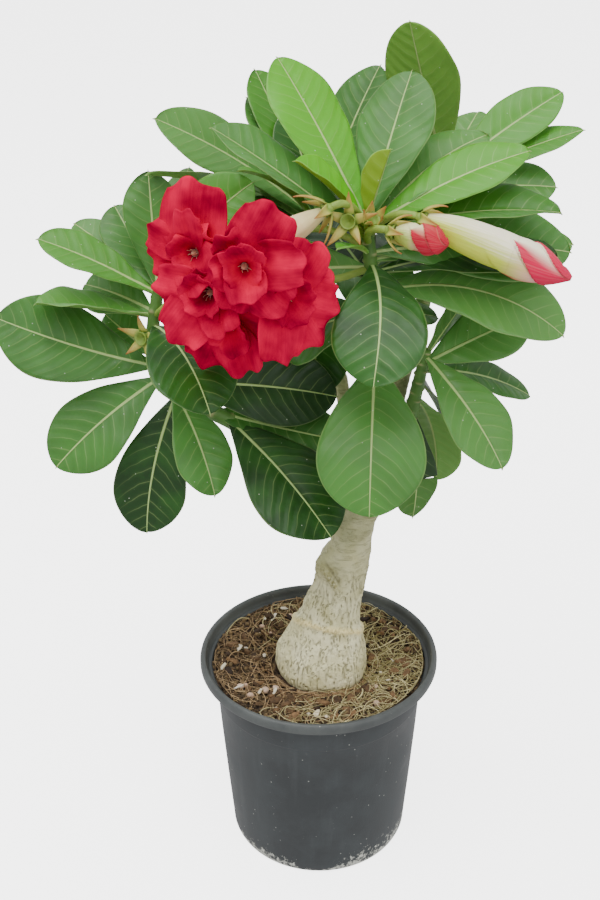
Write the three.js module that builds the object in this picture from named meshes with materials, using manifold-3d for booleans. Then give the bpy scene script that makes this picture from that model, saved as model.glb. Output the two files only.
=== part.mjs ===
// A potted desert rose: a swollen grey trunk in a nursery pot, five leafy shoots, a head of double red
// flowers and two buds. Millimetres, +Z up, the origin at the middle of the pot's flat underside.
// The flowers face -Y, and +X is to the right of someone who looks at them.
import * as THREE from "three";
import { mergeVertices } from "three/addons/utils/BufferGeometryUtils.js";
import Module from "manifold-3d";

const wasm = await Module();
wasm.setup();

// Pot: a thin tapered nursery pot with a rolled lip
const POT_HEIGHT = 140;
const LIP_RADIUS = 77.5;
const LIP_HEIGHT = 7;
const SHOULDER_RADIUS = 69.5;
const RING_HEIGHT = 113;
const BASE_RADIUS = 59.5;
const BASE_ROUNDING = 3.5;
const WALL = 2;
const DRAIN_HOLES = 6;
const DRAIN_RADIUS = 4.5;
const DRAIN_CIRCLE = 40;

// Potting mix: its level at the trunk, its edge at the lip, and the loose pieces that lie in its surface
const MIX_LEVEL = 127;
const MIX_EDGE_LEVEL = 132.6;
const MIX_EDGE_RADIUS = 69.4;
const CHIPS = 12;
const PEBBLES = 6;
const FIBRES = 7;

// Space kept between pieces that touch
const CLEARANCE = 0.3;

// Leaves and petals
const LEAF_THICKNESS = 0.9;
const PETIOLE_WIDTH = 3.4;
const PETIOLE_THICKNESS = 2.4;
const LEAF_ROWS = 5;
const WIDE_LEAF = 49;
const PETAL_THICKNESS = 0.9;
const PETAL_ROWS = 4;
const WIDE_PETAL = 31;
const THROAT_DEPTH = 9;
const CUP_DEPTH = 12;
const TUBE_RADIUS = 5;

const degrees = THREE.MathUtils.degToRad;
const clamp = THREE.MathUtils.clamp;
const vector = (point) => new THREE.Vector3(...point);

// The same draws on each run
function seeded(seed) {
  let state = seed;
  return () => {
    state = (state + 0x6d2b79f5) | 0;
    let mixed = Math.imul(state ^ (state >>> 15), 1 | state);
    mixed = (mixed + Math.imul(mixed ^ (mixed >>> 7), 61 | mixed)) ^ mixed;
    return ((mixed ^ (mixed >>> 14)) >>> 0) / 4294967296;
  };
}

// A closed geometry as a solid, with its faces pointing out
function solid(geometry) {
  const bare = geometry.clone();
  bare.deleteAttribute("normal");
  bare.deleteAttribute("uv");
  const merged = mergeVertices(bare, 1e-3);
  const corners = [];
  for (let i = 0; i < merged.index.count; i += 3) {
    const [a, b, c] = [0, 1, 2].map((k) => merged.index.getX(i + k));
    if (a !== b && b !== c && c !== a) corners.push(a, b, c);
  }
  const vertProperties = new Float32Array(merged.attributes.position.array);
  const made = (triVerts) => {
    return new wasm.Manifold(new wasm.Mesh({ numProp: 3, vertProperties, triVerts }));
  };
  const first = made(new Uint32Array(corners));
  return first.volume() > 0 ? first : made(new Uint32Array(corners.reverse()));
}

// The outer skin of a solid's largest body: loose scraps are dropped and sealed hollows filled
function mainBody(body) {
  const bodies = body.decompose();
  return bodies.reduce((best, next) => (next.volume() > best.volume() ? next : best));
}

function union(solids) {
  return wasm.Manifold.union(solids);
}

function piece(name, body, { color, roughness }) {
  const { numProp, vertProperties, triVerts } = body.getMesh();
  const positions = new Float32Array((vertProperties.length / numProp) * 3);
  for (let i = 0; i < positions.length / 3; i++) {
    positions.set(vertProperties.subarray(i * numProp, i * numProp + 3), i * 3);
  }
  const geometry = new THREE.BufferGeometry();
  geometry.setAttribute("position", new THREE.BufferAttribute(positions, 3));
  geometry.setIndex(new THREE.BufferAttribute(new Uint32Array(triVerts), 1));
  geometry.computeVertexNormals();
  const mesh = new THREE.Mesh(
    geometry,
    new THREE.MeshStandardMaterial({ color, roughness, metalness: 0, flatShading: true }),
  );
  mesh.name = name;
  return mesh;
}

// A closed skin over rings of points, with a flat fan on each end
function skin(rings) {
  const sides = rings[0].length;
  const positions = rings.flat().flatMap((point) => point.toArray());
  const triangles = [];
  rings.slice(1).forEach((ring, k) => {
    for (let i = 0; i < sides; i++) {
      const next = (i + 1) % sides;
      const [a, b] = [k * sides + i, k * sides + next];
      triangles.push(a, b, b + sides, a, b + sides, a + sides);
    }
  });
  [0, rings.length - 1].forEach((k) => {
    const middle = rings[k].reduce((sum, point) => sum.add(point), new THREE.Vector3());
    positions.push(...middle.divideScalar(sides).toArray());
    const hub = positions.length / 3 - 1;
    for (let i = 0; i < sides; i++) {
      const [a, b] = [k * sides + i, k * sides + ((i + 1) % sides)];
      triangles.push(...(k === 0 ? [hub, b, a] : [hub, a, b]));
    }
  });
  const geometry = new THREE.BufferGeometry();
  geometry.setAttribute("position", new THREE.Float32BufferAttribute(positions, 3));
  geometry.setIndex(triangles);
  return geometry;
}

// A round stalk along a curve from one share of it to another; side is a direction that it never runs in
function stalk(curve, from, to, steps, sides, radiusAt, side = new THREE.Vector3(0, 1, 0)) {
  const rings = [];
  for (let k = 0; k <= steps; k++) {
    const t = from + ((to - from) * k) / steps;
    const centre = curve.getPoint(t);
    const along = curve.getTangent(t);
    const out = side.clone().addScaledVector(along, -side.dot(along)).normalize();
    const across = new THREE.Vector3().crossVectors(along, out);
    const ring = [];
    for (let i = 0; i < sides; i++) {
      const angle = (2 * Math.PI * i) / sides;
      const radius = radiusAt(t, angle, centre.z);
      const point = centre.clone().addScaledVector(out, radius * Math.cos(angle));
      ring.push(point.addScaledVector(across, radius * Math.sin(angle)));
    }
    rings.push(ring);
  }
  return solid(skin(rings));
}

// A thin closed sheet over rows of { point, normal, thickness }, with the same triangles on both faces
function sheet(rows) {
  const columns = rows[0].length;
  const positions = [];
  [0.5, -0.5].forEach((share) => {
    rows.flat().forEach(({ point, normal, thickness }) => {
      positions.push(...point.clone().addScaledVector(normal, share * thickness).toArray());
    });
  });
  const below = rows.length * columns;
  const triangles = [];
  const at = (i, j) => i * columns + j;
  for (let i = 0; i + 1 < rows.length; i++) {
    for (let j = 0; j + 1 < columns; j++) {
      const [a, b, c, d] = [at(i, j), at(i + 1, j), at(i + 1, j + 1), at(i, j + 1)];
      triangles.push(a, b, c, a, c, d);
      triangles.push(below + a, below + c, below + b, below + a, below + d, below + c);
    }
  }
  const rim = [];
  for (let j = 0; j + 1 < columns; j++) rim.push(at(0, j));
  for (let i = 0; i + 1 < rows.length; i++) rim.push(at(i, columns - 1));
  for (let j = columns - 1; j > 0; j--) rim.push(at(rows.length - 1, j));
  for (let i = rows.length - 1; i > 0; i--) rim.push(at(i, 0));
  rim.forEach((a, k) => {
    const b = rim[(k + 1) % rim.length];
    triangles.push(a, b, below + b, a, below + b, below + a);
  });
  const geometry = new THREE.BufferGeometry();
  geometry.setAttribute("position", new THREE.Float32BufferAttribute(positions, 3));
  geometry.setIndex(triangles);
  return solid(geometry);
}

// The width of a leaf at a share of its length: a slim foot, widest at two thirds, a blunt tip
function leafOutline(u) {
  return Math.max(0, Math.sin(Math.PI * u ** 1.75)) ** 0.6;
}

// A leaf whose midrib starts at base, in degrees: turn is its compass way, rise its climb there, and droop
// and sweep are what the climb and the turn lose or gain by the tip; roll turns its face and fold lifts
// its two halves
function leaf(base, turn, rise, droop, length, width, roll = 0, fold = 8, sweep = 0, wave = 1) {
  const rows = [];
  const halves = width > WIDE_LEAF ? 2 : 1;
  const spine = base.clone();
  const way = (u) => {
    const climb = degrees(rise - droop * u);
    const compass = degrees(turn + sweep * u);
    const flat = Math.cos(climb);
    return new THREE.Vector3(flat * Math.cos(compass), flat * Math.sin(compass), Math.sin(climb));
  };
  let reached = 0;
  for (let i = 0; i <= LEAF_ROWS; i++) {
    const u = 1 - (1 - i / LEAF_ROWS) ** 1.35;
    spine.addScaledVector(way((u + reached) / 2), length * (u - reached));
    reached = u;
    const along = way(u);
    const level = new THREE.Vector3(-along.y, along.x, 0).normalize();
    const upper = new THREE.Vector3().crossVectors(along, level);
    const side = level.clone().applyAxisAngle(along, degrees(roll));
    const normal = upper.clone().applyAxisAngle(along, degrees(roll));
    const half = Math.max((width / 2) * leafOutline(u), (PETIOLE_WIDTH / 2) * (1 - u) ** 0.3, 0.8);
    const thickness = LEAF_THICKNESS + (PETIOLE_THICKNESS - LEAF_THICKNESS) * Math.max(0, 1 - 4 * u);
    const row = [];
    for (let j = -halves; j <= halves; j++) {
      const v = j / halves;
      const ripple = wave * v * v * u * Math.sin(11 * u + 2 * v);
      const lift = half * Math.abs(v) * Math.sin(degrees(fold)) - 0.1 * half * v * v + ripple;
      const point = spine.clone().addScaledVector(side, half * v * Math.cos(degrees(fold)));
      row.push({ point: point.addScaledVector(normal, lift), normal, thickness });
    }
    rows.push(row);
  }
  return sheet(rows);
}

// Pot
function pot() {
  const lipFoot = POT_HEIGHT - LIP_HEIGHT;
  const profile = [
    [0, 0],
    [BASE_RADIUS - 5.5, 0],
    [BASE_RADIUS - 1.5, 1],
    [BASE_RADIUS, BASE_ROUNDING],
    [SHOULDER_RADIUS - 2.6, RING_HEIGHT - 1],
    [SHOULDER_RADIUS - 1.6, RING_HEIGHT],
    [SHOULDER_RADIUS, lipFoot],
    [LIP_RADIUS - 0.6, lipFoot],
    [LIP_RADIUS, lipFoot + 1.5],
    [LIP_RADIUS, POT_HEIGHT - 2.5],
    [LIP_RADIUS - 1, POT_HEIGHT - 0.6],
    [LIP_RADIUS - 2.2, POT_HEIGHT],
    [LIP_RADIUS - 3.8, POT_HEIGHT - 1],
    [LIP_RADIUS - 4.4, POT_HEIGHT - 4],
    [SHOULDER_RADIUS - 1, lipFoot - 2],
    [SHOULDER_RADIUS - WALL - 0.6, lipFoot - 6],
    [BASE_RADIUS - WALL, BASE_ROUNDING],
    [0, BASE_ROUNDING],
  ];
  const outline = profile.map(([radius, height]) => new THREE.Vector2(radius, height));
  const wall = solid(new THREE.LatheGeometry(outline, 32).rotateX(Math.PI / 2));
  const holes = [];
  for (let i = 0; i < DRAIN_HOLES; i++) {
    const angle = (2 * Math.PI * (i + 0.5)) / DRAIN_HOLES;
    const hole = new THREE.CylinderGeometry(DRAIN_RADIUS, DRAIN_RADIUS, 20, 10).rotateX(Math.PI / 2);
    hole.translate(DRAIN_CIRCLE * Math.cos(angle), DRAIN_CIRCLE * Math.sin(angle), 0);
    holes.push(solid(hole));
  }
  return wall.subtract(union(holes));
}

// Trunk: the spine's x and z, and its radius there, from the foot in the mix to the fork
const TRUNK = [
  [3, 104, 9],
  [3, 112, 19],
  [2.5, 121, 27],
  [2.5, 130, 30],
  [3, 141, 29.3],
  [4, 152, 25.4],
  [6, 162, 21.6],
  [8.5, 173, 18.4],
  [13.6, 194, 16.2],
  [16, 209, 15.6],
  [20.5, 224, 12.6],
  [24.4, 238, 10.6],
  [28, 252, 9.2],
];

function alongTrunk(z) {
  const next = clamp(TRUNK.findIndex((row) => row[1] >= z), 1, TRUNK.length - 1);
  const [low, high] = [TRUNK[next - 1], TRUNK[next]];
  const straight = (z - low[1]) / (high[1] - low[1]);
  const share = 0.6 * straight + 0.4 * THREE.MathUtils.smootherstep(z, low[1], high[1]);
  return { x: low[0] + (high[0] - low[0]) * share, radius: low[2] + (high[2] - low[2]) * share };
}

// Folds that run up the bark, and the ledges that ring it
function bark(angle, z) {
  const folds = 0.022 * Math.sin(3 * angle + z / 30) + 0.018 * Math.sin(5 * angle - z / 17 + 1);
  const lowerRing = z - 159 + 4 * Math.cos(angle) + 9 * Math.sin(angle);
  const upperRing = z - 216 + 3 * Math.sin(angle);
  const ledges = 0.04 * Math.exp(-((lowerRing / 3) ** 2)) + 0.05 * Math.exp(-((upperRing / 4) ** 2));
  return 1 + folds + ledges;
}

function trunkCore(grown) {
  const rings = [];
  const [foot, top] = [TRUNK[0][1] - grown, TRUNK[TRUNK.length - 1][1]];
  const steps = 20;
  for (let k = 0; k <= steps; k++) {
    const z = foot + ((top - foot) * k) / steps;
    const { x, radius } = alongTrunk(Math.max(z, TRUNK[0][1]));
    const ring = [];
    for (let i = 0; i < 20; i++) {
      const angle = (2 * Math.PI * i) / 20;
      const reach = radius * bark(angle, z) + grown;
      ring.push(new THREE.Vector3(x + reach * Math.cos(angle), reach * Math.sin(angle), z));
    }
    rings.push(ring);
  }
  return solid(skin(rings));
}

// The five stems, from inside the trunk's top to their tips: points, the share that is grey bark, and
// the radius at the foot, at the end of the bark and at the tip
const STEMS = {
  centre: {
    points: [[29, 0, 242], [33, -6, 300], [32, -14, 350], [29, -20, 400], [25, -20, 434]],
    bark: 0.36,
    radii: [7.5, 5.2, 3.2],
  },
  left: {
    points: [[25, 0, 240], [-5, -4, 280], [-48, -6, 308], [-85, -8, 334], [-94, -4, 360], [-90, 2, 390]],
    bark: 0.36,
    radii: [7.5, 5, 3.2],
  },
  backRight: {
    points: [[31, 3, 240], [48, 22, 310], [66, 50, 370], [76, 68, 436]],
    bark: 0.55,
    radii: [7, 5, 3.2],
  },
  right: {
    points: [[29, -2, 240], [49, -14, 300], [60, -20, 360]],
    bark: 0.5,
    radii: [6.5, 4.6, 3],
  },
  backLeft: {
    points: [[27, 4, 240], [16, 26, 310], [4, 44, 365], [2, 50, 418]],
    bark: 0.6,
    radii: [7, 4.8, 3.2],
  },
};

const curves = {};
for (const [name, stem] of Object.entries(STEMS)) {
  curves[name] = new THREE.CatmullRomCurve3(stem.points.map(vector));
}

function stemRadius({ bark: end, radii }) {
  return (t) => {
    if (t < end) return radii[0] + (radii[1] - radii[0]) * Math.min(1, (2 * t) / end);
    return radii[1] + ((radii[2] - radii[1]) * (t - end)) / (1 - end);
  };
}

function trunk() {
  const branches = Object.entries(STEMS).map(([name, stem]) => {
    return stalk(curves[name], 0, stem.bark, 5, 8, stemRadius(stem));
  });
  const scar = new THREE.SphereGeometry(7.5, 8, 5).scale(1, 0.9, 1.3).translate(5, -8, 209);
  return union([trunkCore(0), solid(scar), ...branches]);
}

// Where a stem passes a height
function onStem(name, z) {
  let [low, high] = [0, 1];
  for (let i = 0; i < 24; i++) {
    const middle = (low + high) / 2;
    if (curves[name].getPoint(middle).z < z) low = middle;
    else high = middle;
  }
  return curves[name].getPoint(low);
}

// Leaves of each stem: height on the stem, turn, rise, droop, length, width, roll, fold, sweep, wave
const LEAVES = {
  centre: [
    [432, 135, 55, 10, 102, 42, -10, 8],
    [431, 60, 60, 10, 88, 44],
    [433, -45, 70, 0, 44, 24, 0, 40],
    [429, 5, 35, 20, 94, 34, 30, 12],
    [427, -5, 20, 25, 102, 38, 15, 28],
    [416, 0, 10, 20, 108, 46, 45, 10],
    [412, 20, 5, 15, 126, 34, 40, 8],
    [430, -170, 55, 20, 54, 22, -20, 35],
    [422, 170, 40, 10, 102, 36, -15, 25],
    [410, -78, -5, 56, 82, 50, 0, 6, -30],
    [352, -95, -10, 70, 98, 60, 0, 6],
    [392, -15, 25, 65, 110, 46, 30, 8],
    [404, -5, 22, 30, 100, 42, 20, 15],
    [426, 30, 50, 40, 90, 36, 20, 10, 0, 3],
    [378, 20, 8, 30, 40, 18, 30, 10],
    [406, 58, 14, 20, 74, 40, 0, 10],
    [416, -125, 35, 30, 34, 12, 0, 20],
    [408, 172, 0, 15, 90, 46, -55, 8],
    [382, 155, -15, 25, 66, 44, -40, 8],
    [400, 118, 25, 10, 62, 44, -20, 8],
  ],
  left: [
    [345, -175, 15, -12, 95, 50, -50, 6],
    [340, -160, -25, 20, 82, 44, -50, 6],
    [374, -170, 15, 8, 66, 34, 0, 28],
    [368, -60, 15, 70, 80, 50, 0, 6],
    [334, -55, -30, 40, 70, 36],
    [330, -135, -55, 30, 88, 44, -35, 6],
    [386, 180, 35, 15, 72, 30, -25, 15],
    [388, 100, 75, 5, 66, 32, 0, 6, 0, 2.5],
    [388, 125, 45, 10, 60, 34, -10],
    [386, 145, 35, 15, 68, 30, -20],
    [376, 150, 20, 20, 50, 32, -40],
    [352, 140, 15, -10, 44, 24, -40],
    [388, 8, 62, 30, 82, 40, 60],
    [388, 70, 55, 10, 76, 26],
    [312, -43, -18, 24, 96, 56, 15],
    [335, 5, 0, 15, 98, 46, 60],
    [318, -3, -16, -5, 84, 38, 40],
  ],
  backRight: [
    [436, -128, 65, 0, 100, 44, 10, 6],
    [434, 20, 35, 10, 88, 34, 35, 15],
    [430, 5, 25, 10, 88, 26, 20, 15],
    [428, 60, 45, 20, 62, 30],
    [424, -5, 15, 20, 68, 36, 40],
    [420, 100, 20, 35, 84, 38],
    [412, 140, 30, 30, 78, 36],
    [400, 60, 0, 40, 86, 40],
  ],
  right: [
    [356, -55, -20, 40, 78, 38, 20, 8, 20],
    [350, 15, 25, 10, 68, 36, 45, 10],
    [347, 20, -6, 30, 78, 24, 30, 10],
    [356, 35, 45, 0, 48, 26, -70, 10],
    [330, 55, -40, 50, 78, 34, 0, 10],
    [322, -70, -65, 40, 70, 28, 0, 10],
    [340, 62, -30, 30, 56, 40, 40, 8],
  ],
  backLeft: [
    [412, -170, 45, 20, 114, 40, -40, 12],
    [408, -160, 38, 30, 112, 26, 20, 20],
    [416, 130, 55, 5, 96, 36, 0, 10],
    [412, 140, 55, 10, 86, 30, 0, 10],
    [416, 35, 70, 15, 92, 40, 20],
    [410, 125, 70, 20, 70, 34],
    [404, -140, 65, 50, 80, 18, 0, 20],
    [398, -140, 45, 20, 62, 26, -30],
    [406, 75, 30, 40, 86, 40],
    [398, 150, 10, 40, 84, 38],
    [392, 105, -5, 35, 80, 40],
    [394, -32, -14, 8, 62, 46, 35, 8],
    [372, -100, -45, 20, 66, 40, 0, 8],
  ],
};

// Flowers: the middle of the throat, its facing as turn and rise, its calyx, the length and spread of the
// sepals, how far the tube swells, the stem that carries it and the height where its stalk leaves that
// stem, then its petals as: way round (0 is right and 90 is up), lean from the flower's axis, length, width
const FLOWERS = [
  {
    throat: [-65, -55, 428],
    facing: [-110, 10],
    calyx: [-62, -14, 414],
    sepal: 11,
    spread: 40,
    swell: 0.8,
    stem: "left",
    node: 384,
    petals: [[84, 75, 42, 40], [150, 62, 26, 24], [190, 78, 26, 26], [30, 35, 22, 24], [255, 35, 14, 20]],
  },
  {
    throat: [-38, -78, 428],
    facing: [-95, 5],
    calyx: [2, -40, 445],
    sepal: 16,
    spread: 55,
    swell: 3.4,
    stem: "centre",
    node: 428,
    petals: [
      [62, 74, 40, 34],
      [10, 58, 34, 28],
      [315, 74, 32, 30],
      [250, 56, 22, 24],
      [190, 40, 20, 24],
      [120, 45, 22, 20],
    ],
  },
  {
    throat: [-57, -67, 411],
    facing: [-110, 5],
    calyx: [-62, -26, 400],
    sepal: 11,
    spread: 40,
    swell: 0.4,
    stem: "left",
    node: 374,
    petals: [[175, 80, 32, 26], [235, 66, 32, 32], [110, 36, 17, 22], [300, 50, 24, 24], [40, 28, 15, 18]],
  },
  {
    throat: [-48, -60, 391],
    facing: [-95, -20],
    calyx: [-22, -30, 401],
    sepal: 11,
    spread: 40,
    swell: 0.4,
    stem: "centre",
    node: 408,
    petals: [[315, 76, 32, 30], [245, 84, 34, 34], [285, 66, 34, 28], [200, 72, 26, 24], [20, 60, 24, 28]],
  },
  {
    throat: [-18, -69, 410],
    facing: [-65, 0],
    calyx: [-14, -28, 425],
    sepal: 15,
    spread: 50,
    swell: 0.8,
    stem: "centre",
    node: 418,
    petals: [
      [300, 84, 38, 34],
      [340, 68, 30, 30],
      [20, 84, 30, 30],
      [60, 68, 32, 30],
      [258, 68, 38, 30],
      [150, 30, 16, 20],
    ],
  },
];

function facingFrame([turn, rise]) {
  const flat = Math.cos(degrees(rise));
  const front = new THREE.Vector3(
    flat * Math.cos(degrees(turn)),
    flat * Math.sin(degrees(turn)),
    Math.sin(degrees(rise)),
  );
  const right = new THREE.Vector3(0, 0, 1).cross(front).normalize();
  return { front, right, up: new THREE.Vector3().crossVectors(front, right) };
}

// The width of a petal at a share of its length
function petalOutline(u) {
  const grow = 0.22 + 0.78 * Math.sin((Math.PI / 2) * Math.min(1, u / 0.62));
  return grow * Math.sqrt(1 - 0.9 * Math.max(0, (u - 0.62) / 0.38) ** 2);
}

// A petal that is wrapped round the throat at its foot and opens to a ruffled blade
function petal(throat, { front, right, up }, [around, spread, length, width], number) {
  const out = right.clone().multiplyScalar(Math.cos(degrees(around)));
  out.addScaledVector(up, Math.sin(degrees(around)));
  const side = new THREE.Vector3().crossVectors(front, out);
  const lean = (u) => degrees(15 + (spread - 15) * THREE.MathUtils.smoothstep(u, 0, 0.45) + 10 * u);
  const halves = width > WIDE_PETAL ? 2 : 1;
  const rows = [];
  let radius = 2.2 + 2.6 * (number % 2);
  let height = -THROAT_DEPTH;
  for (let i = 0; i <= PETAL_ROWS; i++) {
    const u = i / PETAL_ROWS;
    if (i > 0) {
      const angle = lean(u - 0.5 / PETAL_ROWS);
      radius += (Math.sin(angle) * length) / PETAL_ROWS;
      height += (Math.cos(angle) * length) / PETAL_ROWS;
    }
    const normal = front.clone().multiplyScalar(Math.sin(lean(u)));
    normal.addScaledVector(out, -Math.cos(lean(u)));
    const half = (width / 2) * petalOutline(u);
    const bend = radius + length * u * u;
    const row = [];
    for (let j = -halves; j <= halves; j++) {
      const v = j / halves;
      const turn = (half * v) / bend;
      const ruffle = 2 * u * u * Math.sin(2.2 * Math.PI * v + 1.9 * number);
      const point = throat.clone().addScaledVector(front, height);
      point.addScaledVector(out, radius - bend * (1 - Math.cos(turn)));
      point.addScaledVector(side, bend * Math.sin(turn)).addScaledVector(normal, ruffle);
      const level = out.clone().multiplyScalar(Math.cos(turn)).addScaledVector(side, Math.sin(turn));
      const facing = front.clone().multiplyScalar(Math.sin(lean(u)));
      const outward = facing.addScaledVector(level, -Math.cos(lean(u)));
      row.push({ point, normal: outward, thickness: PETAL_THICKNESS });
    }
    rows.push(row);
  }
  return sheet(rows);
}

function corolla({ throat, facing, petals }) {
  const frame = facingFrame(facing);
  const middle = vector(throat);
  const blades = petals.map((row, i) => petal(middle, frame, row, i));
  const back = middle.clone().addScaledVector(frame.front, -CUP_DEPTH);
  const front = middle.clone().addScaledVector(frame.front, 4.5 - THROAT_DEPTH);
  const cup = stalk(new THREE.LineCurve3(back, front), 0, 1, 1, 8, () => TUBE_RADIUS, frame.up);
  return mainBody(union([cup, ...blades]));
}

function tubeCurve({ throat, facing, calyx }) {
  const { front } = facingFrame(facing);
  const middle = vector(throat);
  const start = middle.clone().addScaledVector(front, -CUP_DEPTH - CLEARANCE);
  return new THREE.QuadraticBezierCurve3(start, middle.clone().addScaledVector(front, -30), vector(calyx));
}

function tube(flower) {
  const radius = (t) => TUBE_RADIUS + flower.swell * Math.sin(Math.PI * t * t) - 2.2 * t * t;
  const curve = tubeCurve(flower);
  return stalk(curve, 0, 1 - CLEARANCE / curve.getLength(), 5, 8, radius, facingFrame(flower.facing).up);
}

// A calyx at the end of a flower stalk: a short cup and five pointed sepals that stand off it
function calyx(at, way, sepalLength, spread) {
  const front = way.clone().normalize();
  const side = Math.abs(front.z) < 0.9 ? new THREE.Vector3(0, 0, 1) : new THREE.Vector3(1, 0, 0);
  const right = side.cross(front).normalize();
  const up = new THREE.Vector3().crossVectors(front, right);
  const foot = at.clone().addScaledVector(front, -5);
  const parts = [stalk(new THREE.LineCurve3(foot, at), 0, 1, 1, 7, (t) => 1.8 + 2.6 * t, up)];
  for (let i = 0; i < 5; i++) {
    const angle = (2 * Math.PI * (i + 0.25)) / 5;
    const out = right.clone().multiplyScalar(Math.cos(angle)).addScaledVector(up, Math.sin(angle));
    const along = front.clone().multiplyScalar(Math.cos(degrees(spread)));
    along.addScaledVector(out, Math.sin(degrees(spread)));
    const root = at.clone().addScaledVector(front, -2.4).addScaledVector(out, 3.2);
    const tip = root.clone().addScaledVector(along, sepalLength);
    parts.push(stalk(new THREE.LineCurve3(root, tip), 0, 1, 1, 3, (t) => 2 - 1.5 * t, out));
  }
  return union(parts);
}

// A flower's stalk from a stem to the foot of its calyx
function pedicel(from, at, way) {
  const foot = at.clone().addScaledVector(way.clone().normalize(), -4.5);
  const bend = foot.clone().addScaledVector(way.clone().normalize(), -0.4 * from.distanceTo(foot));
  const curve = new THREE.QuadraticBezierCurve3(from, bend, foot);
  return stalk(curve, 0, 1, 4, 6, () => 2, new THREE.Vector3(0, 0.6, 0.8));
}

// Buds: the calyx, the tip, the thickest radius, and where the red of the twisted tip starts
const LARGE_BUD = { calyx: [54, -43, 441], tip: [126, -66, 417], radius: 9.9, red: 0.6, node: 426 };
const SMALL_BUD = { calyx: [38, -50, 437], tip: [64, -62, 434], radius: 7.0, red: 0.36, node: 422 };
const BUD_WIDEST = 0.58;

function budRadius(bud) {
  return (t, angle) => {
    const before = Math.max(0, 1 - t / BUD_WIDEST);
    const after = Math.max(0, t - BUD_WIDEST) / 0.44;
    const twist = t > bud.red ? 0.07 * Math.sin(2 * angle + 7 * t) : 0;
    return Math.max(0.8, bud.radius * (1 - 0.65 * before ** 3 - after ** 2.6) * (1 + twist));
  };
}

function budPart(bud, from, to, steps) {
  const curve = new THREE.LineCurve3(vector(bud.calyx), vector(bud.tip));
  return stalk(curve, from, to, steps, 10, budRadius(bud));
}

function budStalk(bud) {
  const at = vector(bud.calyx);
  const way = vector(bud.tip).sub(at);
  return [calyx(at, way, 11, 48), pedicel(onStem("centre", bud.node), at, way)];
}

// Old calyxes whose flowers have dropped
const OLD_CALYXES = [
  { stem: "left", node: 356, at: [-100, -15, 366], facing: [-0.5, -0.8, 0.1], sepal: 12, spread: 60 },
  { stem: "centre", node: 424, at: [14.5, -38, 439], facing: [-0.2, -0.9, 0.2], sepal: 14, spread: 65 },
  { stem: "centre", node: 430, at: [27.5, -38, 441], facing: [0.2, -0.6, 0.7], sepal: 9, spread: 15 },
];

function shoot(name) {
  const stem = STEMS[name];
  const curve = curves[name];
  const start = stem.bark + CLEARANCE / curve.getLength();
  const parts = [stalk(curve, start, 1, 6, 8, stemRadius(stem))];
  LEAVES[name].forEach(([height, ...form]) => parts.push(leaf(onStem(name, height), ...form)));
  FLOWERS.filter((flower) => flower.stem === name).forEach((flower) => {
    const at = vector(flower.calyx);
    const way = tubeCurve(flower).getTangent(1).negate();
    parts.push(calyx(at, way, flower.sepal, flower.spread), pedicel(onStem(name, flower.node), at, way));
  });
  if (name === "centre") parts.push(...budStalk(LARGE_BUD), ...budStalk(SMALL_BUD));
  OLD_CALYXES.filter((old) => old.stem === name).forEach((old) => {
    const [at, way] = [vector(old.at), vector(old.facing)];
    parts.push(calyx(at, way, old.sepal, old.spread), pedicel(onStem(name, old.node), at, way));
  });
  return mainBody(union(parts));
}

// Potting mix: a filling, dished round the trunk, with chips, pebbles and fibres lying in it, and the
// trunk's hole
function mixHeight(x, y) {
  const share = Math.hypot(x, y) / MIX_EDGE_RADIUS;
  const rise = (MIX_EDGE_LEVEL - MIX_LEVEL) * THREE.MathUtils.smoothstep(share, 0.45, 1);
  const lumps = 0.7 * Math.sin(x / 5 + 1) * Math.sin(y / 6) + 0.5 * Math.sin(x / 2.7 - y / 3.3);
  return MIX_LEVEL + rise + lumps;
}

function mixRadius(z) {
  const top = POT_HEIGHT - LIP_HEIGHT - 6;
  const share = (z - BASE_ROUNDING) / (top - BASE_ROUNDING);
  return BASE_RADIUS + (SHOULDER_RADIUS - 0.6 - BASE_RADIUS) * share - WALL - CLEARANCE;
}

function mixFilling() {
  const sectors = 32;
  const circle = (radius, heightAt) => {
    return Array.from({ length: sectors }, (_, i) => {
      const angle = (2 * Math.PI * i) / sectors;
      const [x, y] = [radius * Math.cos(angle), radius * Math.sin(angle)];
      return new THREE.Vector3(x, y, heightAt(x, y));
    });
  };
  const foot = BASE_ROUNDING + CLEARANCE;
  const rings = [circle(mixRadius(foot), () => foot)];
  rings.push(circle(mixRadius(MIX_LEVEL), () => MIX_LEVEL));
  rings.push(circle(mixRadius(MIX_LEVEL) + 1.6, () => MIX_LEVEL + 4));
  rings.push(circle(MIX_EDGE_RADIUS, () => MIX_EDGE_LEVEL));
  [0.92, 0.8, 0.68, 0.56, 0.4].forEach((share) => rings.push(circle(share * MIX_EDGE_RADIUS, mixHeight)));
  return solid(skin(rings));
}

function scatter(random) {
  const radius = 33 + 31 * Math.sqrt(random());
  const angle = 2 * Math.PI * random();
  const [x, y] = [radius * Math.cos(angle), radius * Math.sin(angle)];
  return new THREE.Vector3(x, y, mixHeight(x, y));
}

function chip(random) {
  const box = new THREE.BoxGeometry(5 + 6 * random(), 3 + 3 * random(), 1.6 + random());
  box.rotateX(0.7 * (random() - 0.5)).rotateY(0.7 * (random() - 0.5)).rotateZ(Math.PI * random());
  const { x, y, z } = scatter(random);
  const reach = Math.min(1, 60 / Math.hypot(x, y));
  return solid(box.translate(x * reach, y * reach, z));
}

function pebble(random) {
  const stone = new THREE.IcosahedronGeometry(1.5 + 1.3 * random(), 0);
  stone.scale(1, 0.8, 0.8).rotateZ(3 * random());
  const { x, y, z } = scatter(random);
  return solid(stone.translate(0.96 * x, 0.96 * y, z + 0.3));
}

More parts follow.
